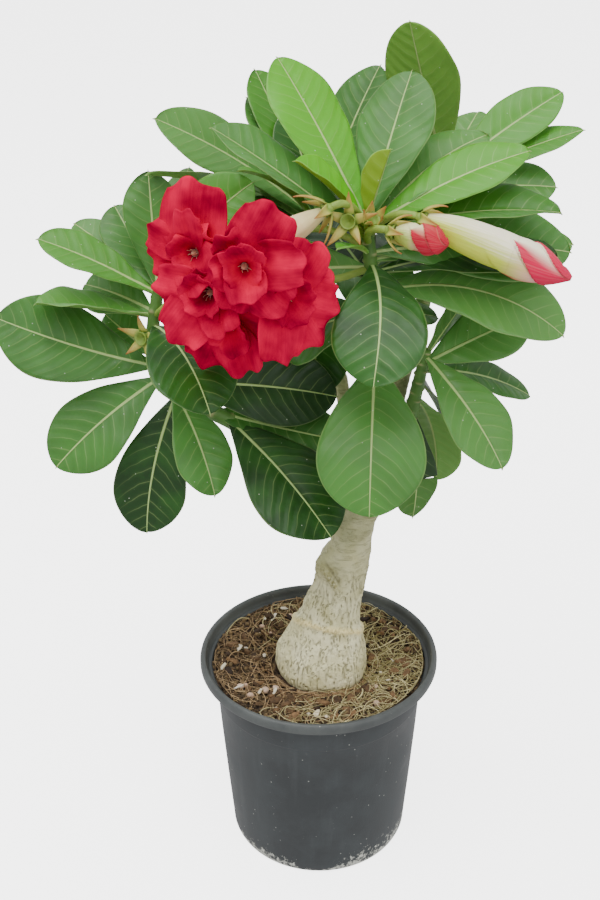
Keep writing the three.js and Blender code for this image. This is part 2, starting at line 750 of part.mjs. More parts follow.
function fibre(random) {
  const start = scatter(random).multiplyScalar(0.97);
  const heading = 2 * Math.PI * random();
  const reach = 12 + 16 * random();
  const points = [0, 0.33, 0.66, 1].map((share) => {
    const x = start.x + reach * share * Math.cos(heading + share);
    const y = start.y + reach * share * Math.sin(heading + share);
    const inside = Math.min(1, 62 / Math.hypot(x, y));
    const lift = 2.6 * Math.sin(Math.PI * share) - 0.9;
    return new THREE.Vector3(x * inside, y * inside, mixHeight(x * inside, y * inside) + lift);
  });
  return stalk(new THREE.CatmullRomCurve3(points), 0, 1, 3, 3, () => 0.7, new THREE.Vector3(0, 0, 1));
}

function pottingMix() {
  const random = seeded(11);
  const parts = [mixFilling()];
  for (let i = 0; i < CHIPS; i++) parts.push(chip(random));
  for (let i = 0; i < PEBBLES; i++) parts.push(pebble(random));
  for (let i = 0; i < FIBRES; i++) parts.push(fibre(random));
  return mainBody(union(parts).subtract(trunkCore(CLEARANCE)));
}

const PLASTIC = { color: 0x43484b, roughness: 0.5 };
const MIX = { color: 0x7a5a3e, roughness: 0.95 };
const BARK = { color: 0xc6c0ad, roughness: 0.85 };
const GREEN = { color: 0x4d8a3e, roughness: 0.45 };
const RED = { color: 0xd3142f, roughness: 0.6 };
const CREAM = { color: 0xf0dcb8, roughness: 0.6 };
const LIME = { color: 0xd5d78a, roughness: 0.5 };

const plant = new THREE.Group();
plant.add(piece("pot", pot(), PLASTIC));
plant.add(piece("potting_mix", pottingMix(), MIX));
plant.add(piece("trunk", trunk(), BARK));
plant.add(piece("leafy_shoot_centre", shoot("centre"), GREEN));
plant.add(piece("leafy_shoot_left", shoot("left"), GREEN));
plant.add(piece("leafy_shoot_back_right", shoot("backRight"), GREEN));
plant.add(piece("leafy_shoot_right", shoot("right"), GREEN));
plant.add(piece("leafy_shoot_back_left", shoot("backLeft"), GREEN));
FLOWERS.forEach((flower, i) => {
  plant.add(piece("flower_" + (i + 1) + "_petals", corolla(flower), RED));
  plant.add(piece("flower_" + (i + 1) + "_tube", tube(flower), CREAM));
});
plant.add(piece("large_bud_tube", budPart(LARGE_BUD, 0.005, LARGE_BUD.red, 6), LIME));
plant.add(piece("large_bud_tip", budPart(LARGE_BUD, LARGE_BUD.red + 0.004, 1, 6), RED));
plant.add(piece("small_bud", budPart(SMALL_BUD, 0.015, 1, 7), RED));

export default plant;
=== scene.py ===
import math

import bpy
import numpy as np
from mathutils import Matrix, Vector, noise


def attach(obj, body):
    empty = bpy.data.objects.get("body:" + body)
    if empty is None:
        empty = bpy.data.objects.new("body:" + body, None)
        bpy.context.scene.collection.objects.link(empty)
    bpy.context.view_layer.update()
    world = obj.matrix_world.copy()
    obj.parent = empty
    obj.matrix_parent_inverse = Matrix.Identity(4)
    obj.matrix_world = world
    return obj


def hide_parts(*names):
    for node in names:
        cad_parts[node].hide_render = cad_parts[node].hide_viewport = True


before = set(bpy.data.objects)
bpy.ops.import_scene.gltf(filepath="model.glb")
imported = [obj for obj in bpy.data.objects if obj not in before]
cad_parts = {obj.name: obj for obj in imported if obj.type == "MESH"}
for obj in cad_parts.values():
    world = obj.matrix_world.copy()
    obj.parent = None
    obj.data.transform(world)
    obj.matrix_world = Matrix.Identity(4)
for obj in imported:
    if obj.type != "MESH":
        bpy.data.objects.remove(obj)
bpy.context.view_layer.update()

# The pot is a thin nursery pot, injection moulded in slate grey polypropylene in one shot: a drawn taper,
# a rolled lip that stiffens the mouth, a faint parting ring below the shoulder and drainage holes.
# All lengths here are millimetres, and become metres when a piece is made.
POT_HEIGHT = 140
LIP_RADIUS = 77.5
LIP_HEIGHT = 7
SHOULDER_RADIUS = 69.5
RING_HEIGHT = 113
BASE_RADIUS = 59.5
BASE_THICKNESS = 3.5
DRAIN_HOLES = 6
DRAIN_RADIUS = 4.5
DRAIN_CIRCLE = 40


def linear(code):
    """An sRGB hex colour as the linear numbers that a shader takes."""
    parts = [int(code[i : i + 2], 16) / 255 for i in (1, 3, 5)]
    return (*[c / 12.92 if c <= 0.04045 else ((c + 0.055) / 1.055) ** 2.4 for c in parts], 1.0)


def per_mm(size):
    """The scale that makes a pattern's features this many millimetres wide."""
    return 1000 / size


def add(tree, kind, *inputs, named=None, **settings):
    """Adds one node and fills the sockets it has in use, in order, or those named. Each takes a number, a hex
    colour, an output, or a node's first output in use."""
    node = tree.nodes.new("ShaderNode" + kind)
    for name, value in settings.items():
        setattr(node, name, value)
    in_use = [socket for socket in node.inputs if socket.enabled]
    by_name = [(node.inputs[name], value) for name, value in (named or {}).items()]
    for socket, value in [*zip(in_use, inputs), *by_name]:
        if isinstance(value, bpy.types.Node):
            value = next(output for output in value.outputs if output.enabled)
        if isinstance(value, bpy.types.NodeSocket):
            tree.links.new(value, socket)
        else:
            socket.default_value = linear(value) if isinstance(value, str) else value
    return node


def finish_of(name, roughness, **fixed):
    """A new material with its shader; fixed numbers and colours go straight onto the shader."""
    material = bpy.data.materials.new(name)
    material.use_nodes = True
    shader = material.node_tree.nodes["Principled BSDF"]
    shader.inputs["Roughness"].default_value = roughness
    for key, value in fixed.items():
        shader.inputs[key.replace("_", " ")].default_value = value
    return material, material.node_tree, shader


def join_colour(tree, shader, colour, height=None, depth=0.3, roughness=None):
    """Puts a colour, and where given a relief of so many millimetres and a roughness, on a shader."""
    add_to = tree.links.new
    add_to(next(output for output in colour.outputs if output.enabled), shader.inputs["Base Color"])
    if roughness is not None:
        add_to(roughness.outputs[0], shader.inputs["Roughness"])
    if height is not None:
        relief = add(tree, "Bump", named={"Strength": 1.0, "Distance": depth / 1000, "Height": height})
        add_to(relief.outputs[0], shader.inputs["Normal"])


def grid_faces(rows, columns, around=False):
    """Quads of a grid of points, closed into a ring of columns if around."""
    at = np.arange(rows * columns).reshape(rows, columns)
    right = np.roll(at, -1, axis=1) if around else at[:, 1:]
    left = at if around else at[:, :-1]
    quads = [left[:-1], left[1:], right[1:], right[:-1]]
    return np.stack(quads, axis=-1).reshape(-1, 4)


def compass(sides):
    """Even angles once round."""
    return np.arange(sides) * 2 * np.pi / sides


def circle(radius, angles, height, x=0):
    """A level ring of points about the upright line at x."""
    return np.stack([x + radius * np.cos(angles), radius * np.sin(angles), 0 * angles + height], 1)


def looped(rings):
    """Rings of points as a closed shell, with the last ring joined to the first."""
    sides = len(rings[0])
    faces = grid_faces(len(rings) + 1, sides, around=True) % (len(rings) * sides)
    return {"points": np.vstack(rings), "faces": faces.tolist()}


def make_piece(name, shells, materials, slot, *nodes):
    """Joins shells of points, faces, looks and material numbers into one object, hangs it on the root body
    and hides the parts it stands for.
    """
    points, faces, numbers, start = [], [], [], 0
    for shell in shells:
        points.append(shell["points"])
        faces += [[int(i) + start for i in face] for face in shell["faces"]]
        numbers += shell.get("materials", [0] * len(shell["faces"]))
        start += len(shell["points"])
    mesh = bpy.data.meshes.new(name)
    mesh.from_pydata((np.vstack(points) / 1000).tolist(), [], faces)
    for material in materials:
        mesh.materials.append(material)
    mesh.polygons.foreach_set("material_index", numbers)
    mesh.polygons.foreach_set("use_smooth", [True] * len(faces))
    for look in shells[0].get("looks", {}):
        values = np.vstack([shell["looks"][look] for shell in shells]).astype(np.float32)
        attribute = mesh.attributes.new(look, "FLOAT_VECTOR", "POINT")
        attribute.data.foreach_set("vector", values.ravel())
    mesh.update()
    piece = bpy.data.objects.new(name, mesh)
    bpy.context.scene.collection.objects.link(piece)
    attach(piece, "root")
    if nodes:
        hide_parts(*nodes)
    return piece


def settle(piece):
    """Replaces a piece's mesh by the one that its modifiers make."""
    bpy.context.view_layer.update()
    settled = bpy.data.meshes.new_from_object(piece.evaluated_get(bpy.context.evaluated_depsgraph_get()))
    piece.modifiers.clear()
    piece.data = settled


lip_foot = POT_HEIGHT - LIP_HEIGHT
pot_profile = [
    (0.01, 0.6), (BASE_RADIUS - 9, 0.6), (BASE_RADIUS - 7.5, 0), (BASE_RADIUS - 4, 0),
    (BASE_RADIUS - 2, 0.5), (BASE_RADIUS - 0.7, 1.7), (BASE_RADIUS, 3.5), (BASE_RADIUS + 0.45, 10),
    (62.6, 45), (65.4, 85), (SHOULDER_RADIUS - 2.55, RING_HEIGHT - 1.6),
    (SHOULDER_RADIUS - 2.3, RING_HEIGHT - 1.1), (SHOULDER_RADIUS - 1.7, RING_HEIGHT - 0.4),
    (SHOULDER_RADIUS - 1.5, RING_HEIGHT + 0.4), (SHOULDER_RADIUS - 0.7, 124), (SHOULDER_RADIUS, lip_foot - 1),
    (SHOULDER_RADIUS + 0.4, lip_foot - 0.3), (SHOULDER_RADIUS + 1.2, lip_foot), (LIP_RADIUS - 1, lip_foot),
    (LIP_RADIUS - 0.3, lip_foot + 0.4), (LIP_RADIUS, lip_foot + 1.2), (LIP_RADIUS, POT_HEIGHT - 2.8),
    (LIP_RADIUS - 0.4, POT_HEIGHT - 1.3), (LIP_RADIUS - 1.2, POT_HEIGHT - 0.3),
    (LIP_RADIUS - 2.2, POT_HEIGHT), (LIP_RADIUS - 3.2, POT_HEIGHT - 0.4),
    (LIP_RADIUS - 3.9, POT_HEIGHT - 1.4), (LIP_RADIUS - 4.3, 136), (LIP_RADIUS - 4.8, 134),
    (LIP_RADIUS - 6.5, 131.8),
    (LIP_RADIUS - 9, 130.6), (SHOULDER_RADIUS - 2.4, 128.5), (66.2, 120), (62.5, 70),
    (57.8, BASE_THICKNESS + 0.5), (57, BASE_THICKNESS), (0.01, BASE_THICKNESS),
]
POT_SIDES = 144
RIM_SWAY = 0.35
angles = compass(POT_SIDES)
rings = []
for radius, height in pot_profile:
    sway = RIM_SWAY * max(0, height - 120) / 20 * np.sin(2 * angles + 0.6)
    rings.append(circle(radius + sway, angles, height))
pot_shell = looped(rings)
pot_shell["faces"] = [face[::-1] for face in pot_shell["faces"]]

# Moulded polypropylene: a satin skin with a faint pebble. Handling leaves pale scuffs on it, its lip is
# painted paler, part dust and part a painted highlight, and hard water leaves a chalky tide mark round the
# foot, higher at the sides.
polypropylene, tree, shader = finish_of("polypropylene_moulded", 0.46, IOR=1.49)
place = add(tree, "TexCoord").outputs["Object"]
split = add(tree, "SeparateXYZ", place)
dust = add(tree, "TexNoise", place, per_mm(28), 6.0, 0.62)
dusty = add(tree, "MapRange", dust, 0.42, 0.75, 0, 0.34)
plastic = add(tree, "Mix", dusty, "#2a2e30", "#555b5d", data_type="RGBA")
streak_place = add(tree, "Mapping", place, named={"Scale": (1.0, 1.0, 0.08)})
streak = add(tree, "TexNoise", streak_place, per_mm(6), 4.0)
streaked = add(tree, "MapRange", streak, 0.55, 0.85, 0, 0.12)
wiped = add(tree, "Mix", streaked, plastic, "#6b7172", data_type="RGBA")
# Painted highlight: the top of the lip is mixed towards pale grey, through the dust pattern
on_lip = add(tree, "MapRange", split.outputs["Z"], 0.132, 0.134, 0, 0.6)
lip_dust_and_highlight = add(tree, "Math", on_lip, dust, operation="MULTIPLY", use_clamp=True)
lip_lightened = add(tree, "Mix", lip_dust_and_highlight, wiped, "#767a76", data_type="RGBA")
flecks = add(tree, "TexNoise", place, per_mm(3.2), 9.0, 0.75)
swings = add(tree, "TexNoise", place, per_mm(45), 1.0)
sideways = add(tree, "Math", split.outputs["X"], operation="ABSOLUTE")
at_sides = add(tree, "MapRange", sideways, 0.004, 0.022, 0.014, 0.036)
reach = add(tree, "Math", swings, at_sides, operation="MULTIPLY")
level = add(tree, "Math", split.outputs["Z"], reach, operation="DIVIDE")
thinning = add(tree, "MapRange", level, 0, 1.0, 0.4, 0.66)
chalk_on = add(tree, "Math", flecks, thinning, operation="SUBTRACT")
chalk = add(tree, "MapRange", chalk_on, 0, 0.06, 0, 0.85)
chalked = add(tree, "Mix", chalk, lip_lightened, "#d2d3c8", data_type="RGBA")
specks = add(tree, "TexVoronoi", place, per_mm(7))
speck = add(tree, "MapRange", specks, 0.035, 0.075, 0.8, 0.0)
speckled = add(tree, "Mix", speck, chalked, "#b4b6ae", data_type="RGBA")
rough = add(tree, "MapRange", dust, 0.3, 0.8, 0.4, 0.62)
pebble = add(tree, "TexNoise", place, per_mm(1.1), 3.0)
join_colour(tree, shader, speckled, pebble, 0.05, rough)
pot = make_piece("pot_body", [pot_shell], [polypropylene], "pot_plastic", "pot")
for i in range(DRAIN_HOLES):
    angle = (i + 0.5) * 2 * math.pi / DRAIN_HOLES
    middle = Vector((DRAIN_CIRCLE * math.cos(angle), DRAIN_CIRCLE * math.sin(angle), 2)) / 1000
    bpy.ops.mesh.primitive_cylinder_add(vertices=32, radius=DRAIN_RADIUS / 1000, depth=0.01, location=middle)
    punch = bpy.context.object
    drain = pot.modifiers.new("drain", "BOOLEAN")
    drain.operation = "DIFFERENCE"
    drain.object = punch
    settle(pot)
    bpy.data.objects.remove(punch)

# The trunk is one living piece: a caudex, the swollen foot that stores water, drawn up into a short trunk and
# five branches, under thin smooth bark. It has growth ledges, folds and the scar of a pruned branch.
TRUNK = [
    (3, 104, 9), (3, 112, 19), (2.5, 121, 27), (2.5, 130, 30), (3, 141, 29.3), (4, 152, 25.4),
    (6, 162, 21.6), (8.5, 173, 18.4), (13.6, 194, 16.2), (16, 209, 15.6), (20.5, 224, 12.6),
    (24.4, 238, 10.6), (28, 252, 9.2),
]
TRUNK_ROWS = 100
TRUNK_SIDES = 64
# Each stem: points from inside the trunk to the tip, the share under grey bark, the radii at the foot,
# at the end of the bark and at the tip
STEMS = {
    "centre": {
        "points": [(29, 0, 242), (33, -6, 300), (32, -14, 350), (29, -20, 400), (25, -20, 434)],
        "bark": 0.36, "radii": (7.5, 5.2, 3.2),
    },
    "left": {
        "points": [
            (25, 0, 240), (-5, -4, 280), (-48, -6, 308), (-85, -8, 334), (-94, -4, 360), (-90, 2, 390),
        ],
        "bark": 0.36, "radii": (7.5, 5, 3.2),
    },
    "back_right": {
        "points": [(31, 3, 240), (48, 22, 310), (66, 50, 370), (76, 68, 436)],
        "bark": 0.55, "radii": (7, 5, 3.2),
    },
    "right": {
        "points": [(29, -2, 240), (49, -14, 300), (60, -20, 360)],
        "bark": 0.5, "radii": (6.5, 4.6, 3),
    },
    "back_left": {
        "points": [(27, 4, 240), (16, 26, 310), (4, 44, 365), (2, 50, 418)],
        "bark": 0.6, "radii": (7, 4.8, 3.2),
    },
}


def unit(vector):
    """A vector at length 1."""
    return vector / np.linalg.norm(vector)


def stem_point(points, t):
    """A point on the smooth curve through a stem's points, t from 0 to 1 (centripetal Catmull-Rom)."""
    points = [np.array(point, float) for point in points]
    points = [2 * points[0] - points[1], *points, 2 * points[-1] - points[-2]]
    spans = len(points) - 3
    index = min(int(max(t, 0) * spans), spans - 1)
    weight = t * spans - index
    a, b, c, d = points[index : index + 4]
    ab, bc, cd = [np.linalg.norm(q - p) ** 0.5 for p, q in ((a, b), (b, c), (c, d))]
    start = bc * ((b - a) / ab - (c - a) / (ab + bc) + (c - b) / bc)
    end = bc * ((c - b) / bc - (d - b) / (bc + cd) + (d - c) / cd)
    square, cube = weight**2, weight**3
    return b + start * weight + (3 * (c - b) - 2 * start - end) * square + (2 * (b - c) + start + end) * cube


def capped(rings, ends):
    """Rings of points as a closed shell, with a fan of faces from each end ring to a point."""
    sides = len(rings[0])
    last = len(rings) * sides
    foot = last - sides
    faces = grid_faces(len(rings), sides, around=True)[:, ::-1].tolist()
    faces += [[last, (i + 1) % sides, i] for i in range(sides)]
    faces += [[last + 1, foot + i, foot + (i + 1) % sides] for i in range(sides)]
    return {"points": np.vstack([*rings, ends]), "faces": faces}


def tube(centres, radius_at, sides, side=(0, 1, 0)):
    """A closed round shell along centres; radius_at takes the row's share of the way and the angles."""
    centres = np.array(centres, float)
    along = np.gradient(centres, axis=0)
    rings, looks = [], []
    angles = compass(sides)
    for k, centre in enumerate(centres):
        way = unit(along[k])
        out = unit(np.array(side, float) - way * np.dot(side, way))
        across = np.cross(way, out)
        share = k / (len(centres) - 1)
        radius = radius_at(share, angles)
        ring = np.outer(radius * np.cos(angles), out) + np.outer(radius * np.sin(angles), across)
        rings.append(centre + ring)
        looks.append(np.stack([np.full(sides, share), angles, 0 * angles], 1))
    looks.append(np.array([[0, 0, 0], [1, 0, 0]], float))
    return {**capped(rings, [centres[0], centres[-1]]), "looks": {"stalk": np.vstack(looks)}}


def stem_radius(stem, t):
    """A stem's radius: it thins quickly above its foot, and then slowly under the green skin."""
    end, radii = stem["bark"], stem["radii"]
    if t < end:
        return radii[0] + (radii[1] - radii[0]) * min(1, 2 * t / end)
    return radii[1] + (radii[2] - radii[1]) * (t - end) / (1 - end)


def trunk_core():
    """The caudex and trunk, as rings of points from the foot to the fork."""
    heights = np.linspace(TRUNK[0][1], TRUNK[-1][1], TRUNK_ROWS)
    rows = np.array(TRUNK, float)
    angles = compass(TRUNK_SIDES)
    rings = []
    for z in heights:
        low = min(int(np.searchsorted(rows[:, 1], z, side="right")) - 1, len(rows) - 2)
        share = (z - rows[low, 1]) / (rows[low + 1, 1] - rows[low, 1])
        share = 0.6 * share + 0.4 * share**3 * (share * (6 * share - 15) + 10)
        x, _, radius = rows[low] + (rows[low + 1] - rows[low]) * share
        folds = 0.022 * np.sin(3 * angles + z / 30) + 0.018 * np.sin(5 * angles - z / 17 + 1)
        ledge = 0.04 * np.exp(-(((z - 159 + 4 * np.cos(angles) + 9 * np.sin(angles)) / 3) ** 2))
        ledge = ledge + 0.05 * np.exp(-(((z - 216 + 3 * np.sin(angles)) / 4) ** 2))
        rings.append(circle(radius * (1 + folds + ledge), angles, z, x))
    return capped(rings, [(x, 0, z) for x, z, _ in (TRUNK[0], TRUNK[-1])])


def knob(centre, sizes, rows=12, sides=20):
    """A rounded lump, as rings of points on an ellipsoid."""
    rings = []
    for up in np.linspace(-1.4, 1.4, rows):
        ring = circle(math.cos(up), compass(sides), math.sin(up))
        rings.append(np.array(centre) + ring * np.array(sizes))
    return capped(rings, [rings[0].mean(0), rings[-1].mean(0)])


PRUNED_STUB = {"centre": (5, -8, 209), "sizes": (7.5, 6.75, 9.75)}
BRANCH_ROWS = 40
BRANCH_SIDES = 24
trunk_shells = [trunk_core(), knob(**PRUNED_STUB)]
for stem in STEMS.values():
    end = stem["bark"]
    way = [stem_point(stem["points"], end * k / BRANCH_ROWS) for k in range(BRANCH_ROWS + 1)]
    branch = tube(way, lambda share, angles: stem_radius(stem, end * share) + 0 * angles, BRANCH_SIDES)
    trunk_shells.append(branch)

# Bark of a desert rose: thin, smooth and matt, cream-grey at the swollen foot and greener on the branches,
# with painted shade in its creases and in the dips of rough spots round its ledges, and a brown stain at the
# soil line.
bark, tree, shader = finish_of("adenium_bark", 0.72, IOR=1.45)
place = add(tree, "TexCoord").outputs["Object"]
split = add(tree, "SeparateXYZ", place)
cloud = add(tree, "TexNoise", place, per_mm(16), 6.0, 0.55)
patch = add(tree, "MapRange", cloud, 0.36, 0.62)
pale = add(tree, "Mix", patch, "#ddd6a2", "#f8f2c6", data_type="RGBA")
green_cloud = add(tree, "TexNoise", place, per_mm(30), 4.0)
rise = add(tree, "MapRange", split.outputs["Z"], 0.165, 0.235, 0, 1.5)
greening = add(tree, "Math", rise, green_cloud, operation="MULTIPLY", use_clamp=True)
upper = add(tree, "Mix", greening, pale, "#7e8258", data_type="RGBA")
top_share = add(tree, "MapRange", split.outputs["Z"], 0.2, 0.212)

# Thin upright lines of painted shade in the creases of the swollen foot; fainter level lines on the bark
# above
bark_look = add(tree, "Attribute", attribute_name="bark_look").outputs["Vector"]
wrinkled = add(tree, "SeparateXYZ", bark_look)
level_place = add(tree, "Mapping", place, named={"Scale": (1.0, 1.0, 4.0)})
rings_drawn = add(tree, "TexNoise", level_place, per_mm(7), 6.0)
breaks = add(tree, "TexNoise", place, per_mm(5), 2.0)
broken = add(tree, "MapRange", breaks, 0.38, 0.6, 0.45, 1.0)
crease_shade = add(tree, "Math", wrinkled.outputs["X"], broken, operation="MULTIPLY")
faint = add(tree, "MapRange", rings_drawn, 0.34, 0.46, 0.35, 0.0)
crease = add(tree, "Mix", top_share, crease_shade, faint)
# The dips of the rough spots round the ledges darken with the same painted shade
shade_and_lines = add(tree, "Math", wrinkled.outputs["Y"], 0.75, crease, operation="MULTIPLY_ADD")
shade_and_line_tone = add(tree, "Math", shade_and_lines, 0.6, operation="MULTIPLY", use_clamp=True)
shaded_and_lined = add(tree, "Mix", shade_and_line_tone, upper, "#827c52", data_type="RGBA")

# The growth ring is a soft cream ridge that dips to the front
ring_level = add(tree, "VectorMath", place, (0.19, 0.43, 1.0), operation="DOT_PRODUCT")
ring_wave = add(tree, "Math", breaks, 0.005, ring_level.outputs["Value"], operation="MULTIPLY_ADD")
from_ring = add(tree, "Math", ring_wave, 0.1645, operation="SUBTRACT")
off_ring = add(tree, "Math", from_ring, operation="ABSOLUTE")
on_ring = add(tree, "MapRange", off_ring, 0.0006, 0.0032, 1.0, 0.0)
ringed = add(tree, "Mix", on_ring, shaded_and_lined, "#fbeaa8", data_type="RGBA")

# The pruning scar: rough tan bark on a slanting ridge, with a painted shadow in the cleft on its right
along_scar = add(tree, "VectorMath", place, (0.507, 0, -0.862), operation="DOT_PRODUCT")
across_scar = add(tree, "VectorMath", place, (0.862, 0, 0.507), operation="DOT_PRODUCT")
front_side = add(tree, "MapRange", split.outputs["Y"], -0.005, -0.001, 1.0, 0.0)
masks = []
for value, middle, soft, wide in (
    (along_scar.outputs["Value"], -0.1742, 0.006, 0.012),
    (across_scar.outputs["Value"], 0.1128, 0.0002, 0.0012),
    (across_scar.outputs["Value"], 0.1094, 0.0014, 0.0032),
):
    from_it = add(tree, "Math", value, middle, operation="SUBTRACT")
    off_it = add(tree, "Math", from_it, operation="ABSOLUTE")
    masks.append(add(tree, "MapRange", off_it, soft, wide, 1.0, 0.0))
along_there = add(tree, "Math", masks[0], front_side, operation="MULTIPLY")
grit = add(tree, "TexNoise", place, per_mm(1.6), 4.0, 0.7)
gritty = add(tree, "MapRange", grit, 0.42, 0.6)
on_ridge = add(tree, "Math", masks[2], along_there, operation="MULTIPLY")
ridge_tone = add(tree, "Math", on_ridge, gritty, operation="MULTIPLY")
ridged = add(tree, "Mix", ridge_tone, ringed, "#8f8754", data_type="RGBA")
# Painted shadow: the cleft on the ridge's right is darkened
in_cleft = add(tree, "Math", masks[1], along_there, operation="MULTIPLY")
cleft_shadow = add(tree, "Math", in_cleft, 0.55, operation="MULTIPLY")
scarred = add(tree, "Mix", cleft_shadow, ridged, "#5c5636", data_type="RGBA")
soil_line = add(tree, "MapRange", split.outputs["Z"], 0.124, 0.136, 0.75, 0.0)
stain = add(tree, "Math", soil_line, cloud, operation="MULTIPLY")
stained = add(tree, "Mix", stain, scarred, "#8d7550", data_type="RGBA")
fine = add(tree, "TexNoise", place, per_mm(1.2), 4.0)
sunk = add(tree, "Math", crease, -1.3, operation="MULTIPLY")
relief = add(tree, "Math", fine, 0.6, sunk, operation="MULTIPLY_ADD")
join_colour(tree, shader, stained, relief, 1.1)

trunk = make_piece("trunk_bark", trunk_shells, [bark], "bark", "trunk")
# The stems grow together with the trunk, and then the bark's relief is raised from noise and single marks
VOXEL = 0.83
SCAR_X, SCAR_Z, SCAR_LEAN = 0.9, 214.7, (0.507, 0.862)
GROWTH_RING = (0.19, 0.43, 162)
remesh = trunk.modifiers.new("grown_together", "REMESH")
remesh.mode = "VOXEL"
remesh.voxel_size = VOXEL / 1000
remesh.use_smooth_shade = True
rounded = trunk.modifiers.new("rounded", "SMOOTH")
rounded.iterations = 10
rounded.factor = 0.6
settle(trunk)
grown = trunk.data
grown.update()
places = [vertex.co * 1000 for vertex in grown.vertices]
normals = [vertex.normal.copy() for vertex in grown.vertices]
moved, looks = [], []
for (x, y, z), normal in zip(places, normals):
    sideways = math.atan2(y, x - 3)
    folds = noise.fractal(Vector((3.2 * sideways, z / 55, 1.0)), 0.9, 2.1, 4) * 0.45
    ridges = noise.fractal(Vector((x / 2.4, y / 2.4, z / 9)), 0.7, 2.2, 4) * 0.5
    wavy = noise.noise(Vector((x / 2.0, y / 2.0, z / 12 + 0.4 * noise.noise(Vector((x / 6, y / 6, z / 6))))))
    valley = math.exp(-((wavy / 0.08) ** 2))
    rings_of_growth = noise.fractal(Vector((x / 22, y / 22, z / 3.1)), 0.8, 2.2, 4) * 0.30
    lumps = noise.noise(Vector((x / 13, y / 13, z / 15))) * 0.5
    upper_bark = max(0.0, min(1.0, (z - 178) / 20))
    along = (x - SCAR_X) * SCAR_LEAN[0] - (z - SCAR_Z) * SCAR_LEAN[1]
    across = (x - SCAR_X) * SCAR_LEAN[1] + (z - SCAR_Z) * SCAR_LEAN[0]
    on_scar = math.exp(-(((along - 10.5) / 9) ** 4)) * (1 if y < 0 else 0)
    scar = on_scar * (2.8 * math.exp(-((across / 1.9) ** 2)) - 1.8 * math.exp(-(((across - 3.4) / 1.7) ** 2)))
    grit = noise.fractal(Vector((x / 1.9, y / 1.9, z / 1.6)), 0.8, 2.2, 3)
    patches = math.exp(-(((z - 203) / 7) ** 2)) + 0.7 * math.exp(-(((z - 187) / 6) ** 2)) * (x > 2)
    rough_bark = grit * patches * 0.8
    ring = 1.2 * math.exp(-(((z + GROWTH_RING[0] * x + GROWTH_RING[1] * y - GROWTH_RING[2]) / 2.1) ** 2))
    push = folds + (ridges - 0.65 * valley) * (1 - upper_bark) + rings_of_growth * (0.3 + upper_bark)
    push = push + lumps + scar + rough_bark + ring
    # The creases and the dips of the rough spots are kept for the bark's painted shade
    looks += [valley, max(0.0, -grit) * patches, 0.0]
    push *= 0.35 if z < 118 else 1.0
    moved += [at / 1000 + way * push / 1000 for at, way in zip((x, y, z), normal)]
grown.vertices.foreach_set("co", moved)
grown.attributes.new("bark_look", "FLOAT_VECTOR", "POINT").data.foreach_set("vector", looks)
grown.polygons.foreach_set("use_smooth", [True] * len(grown.polygons))

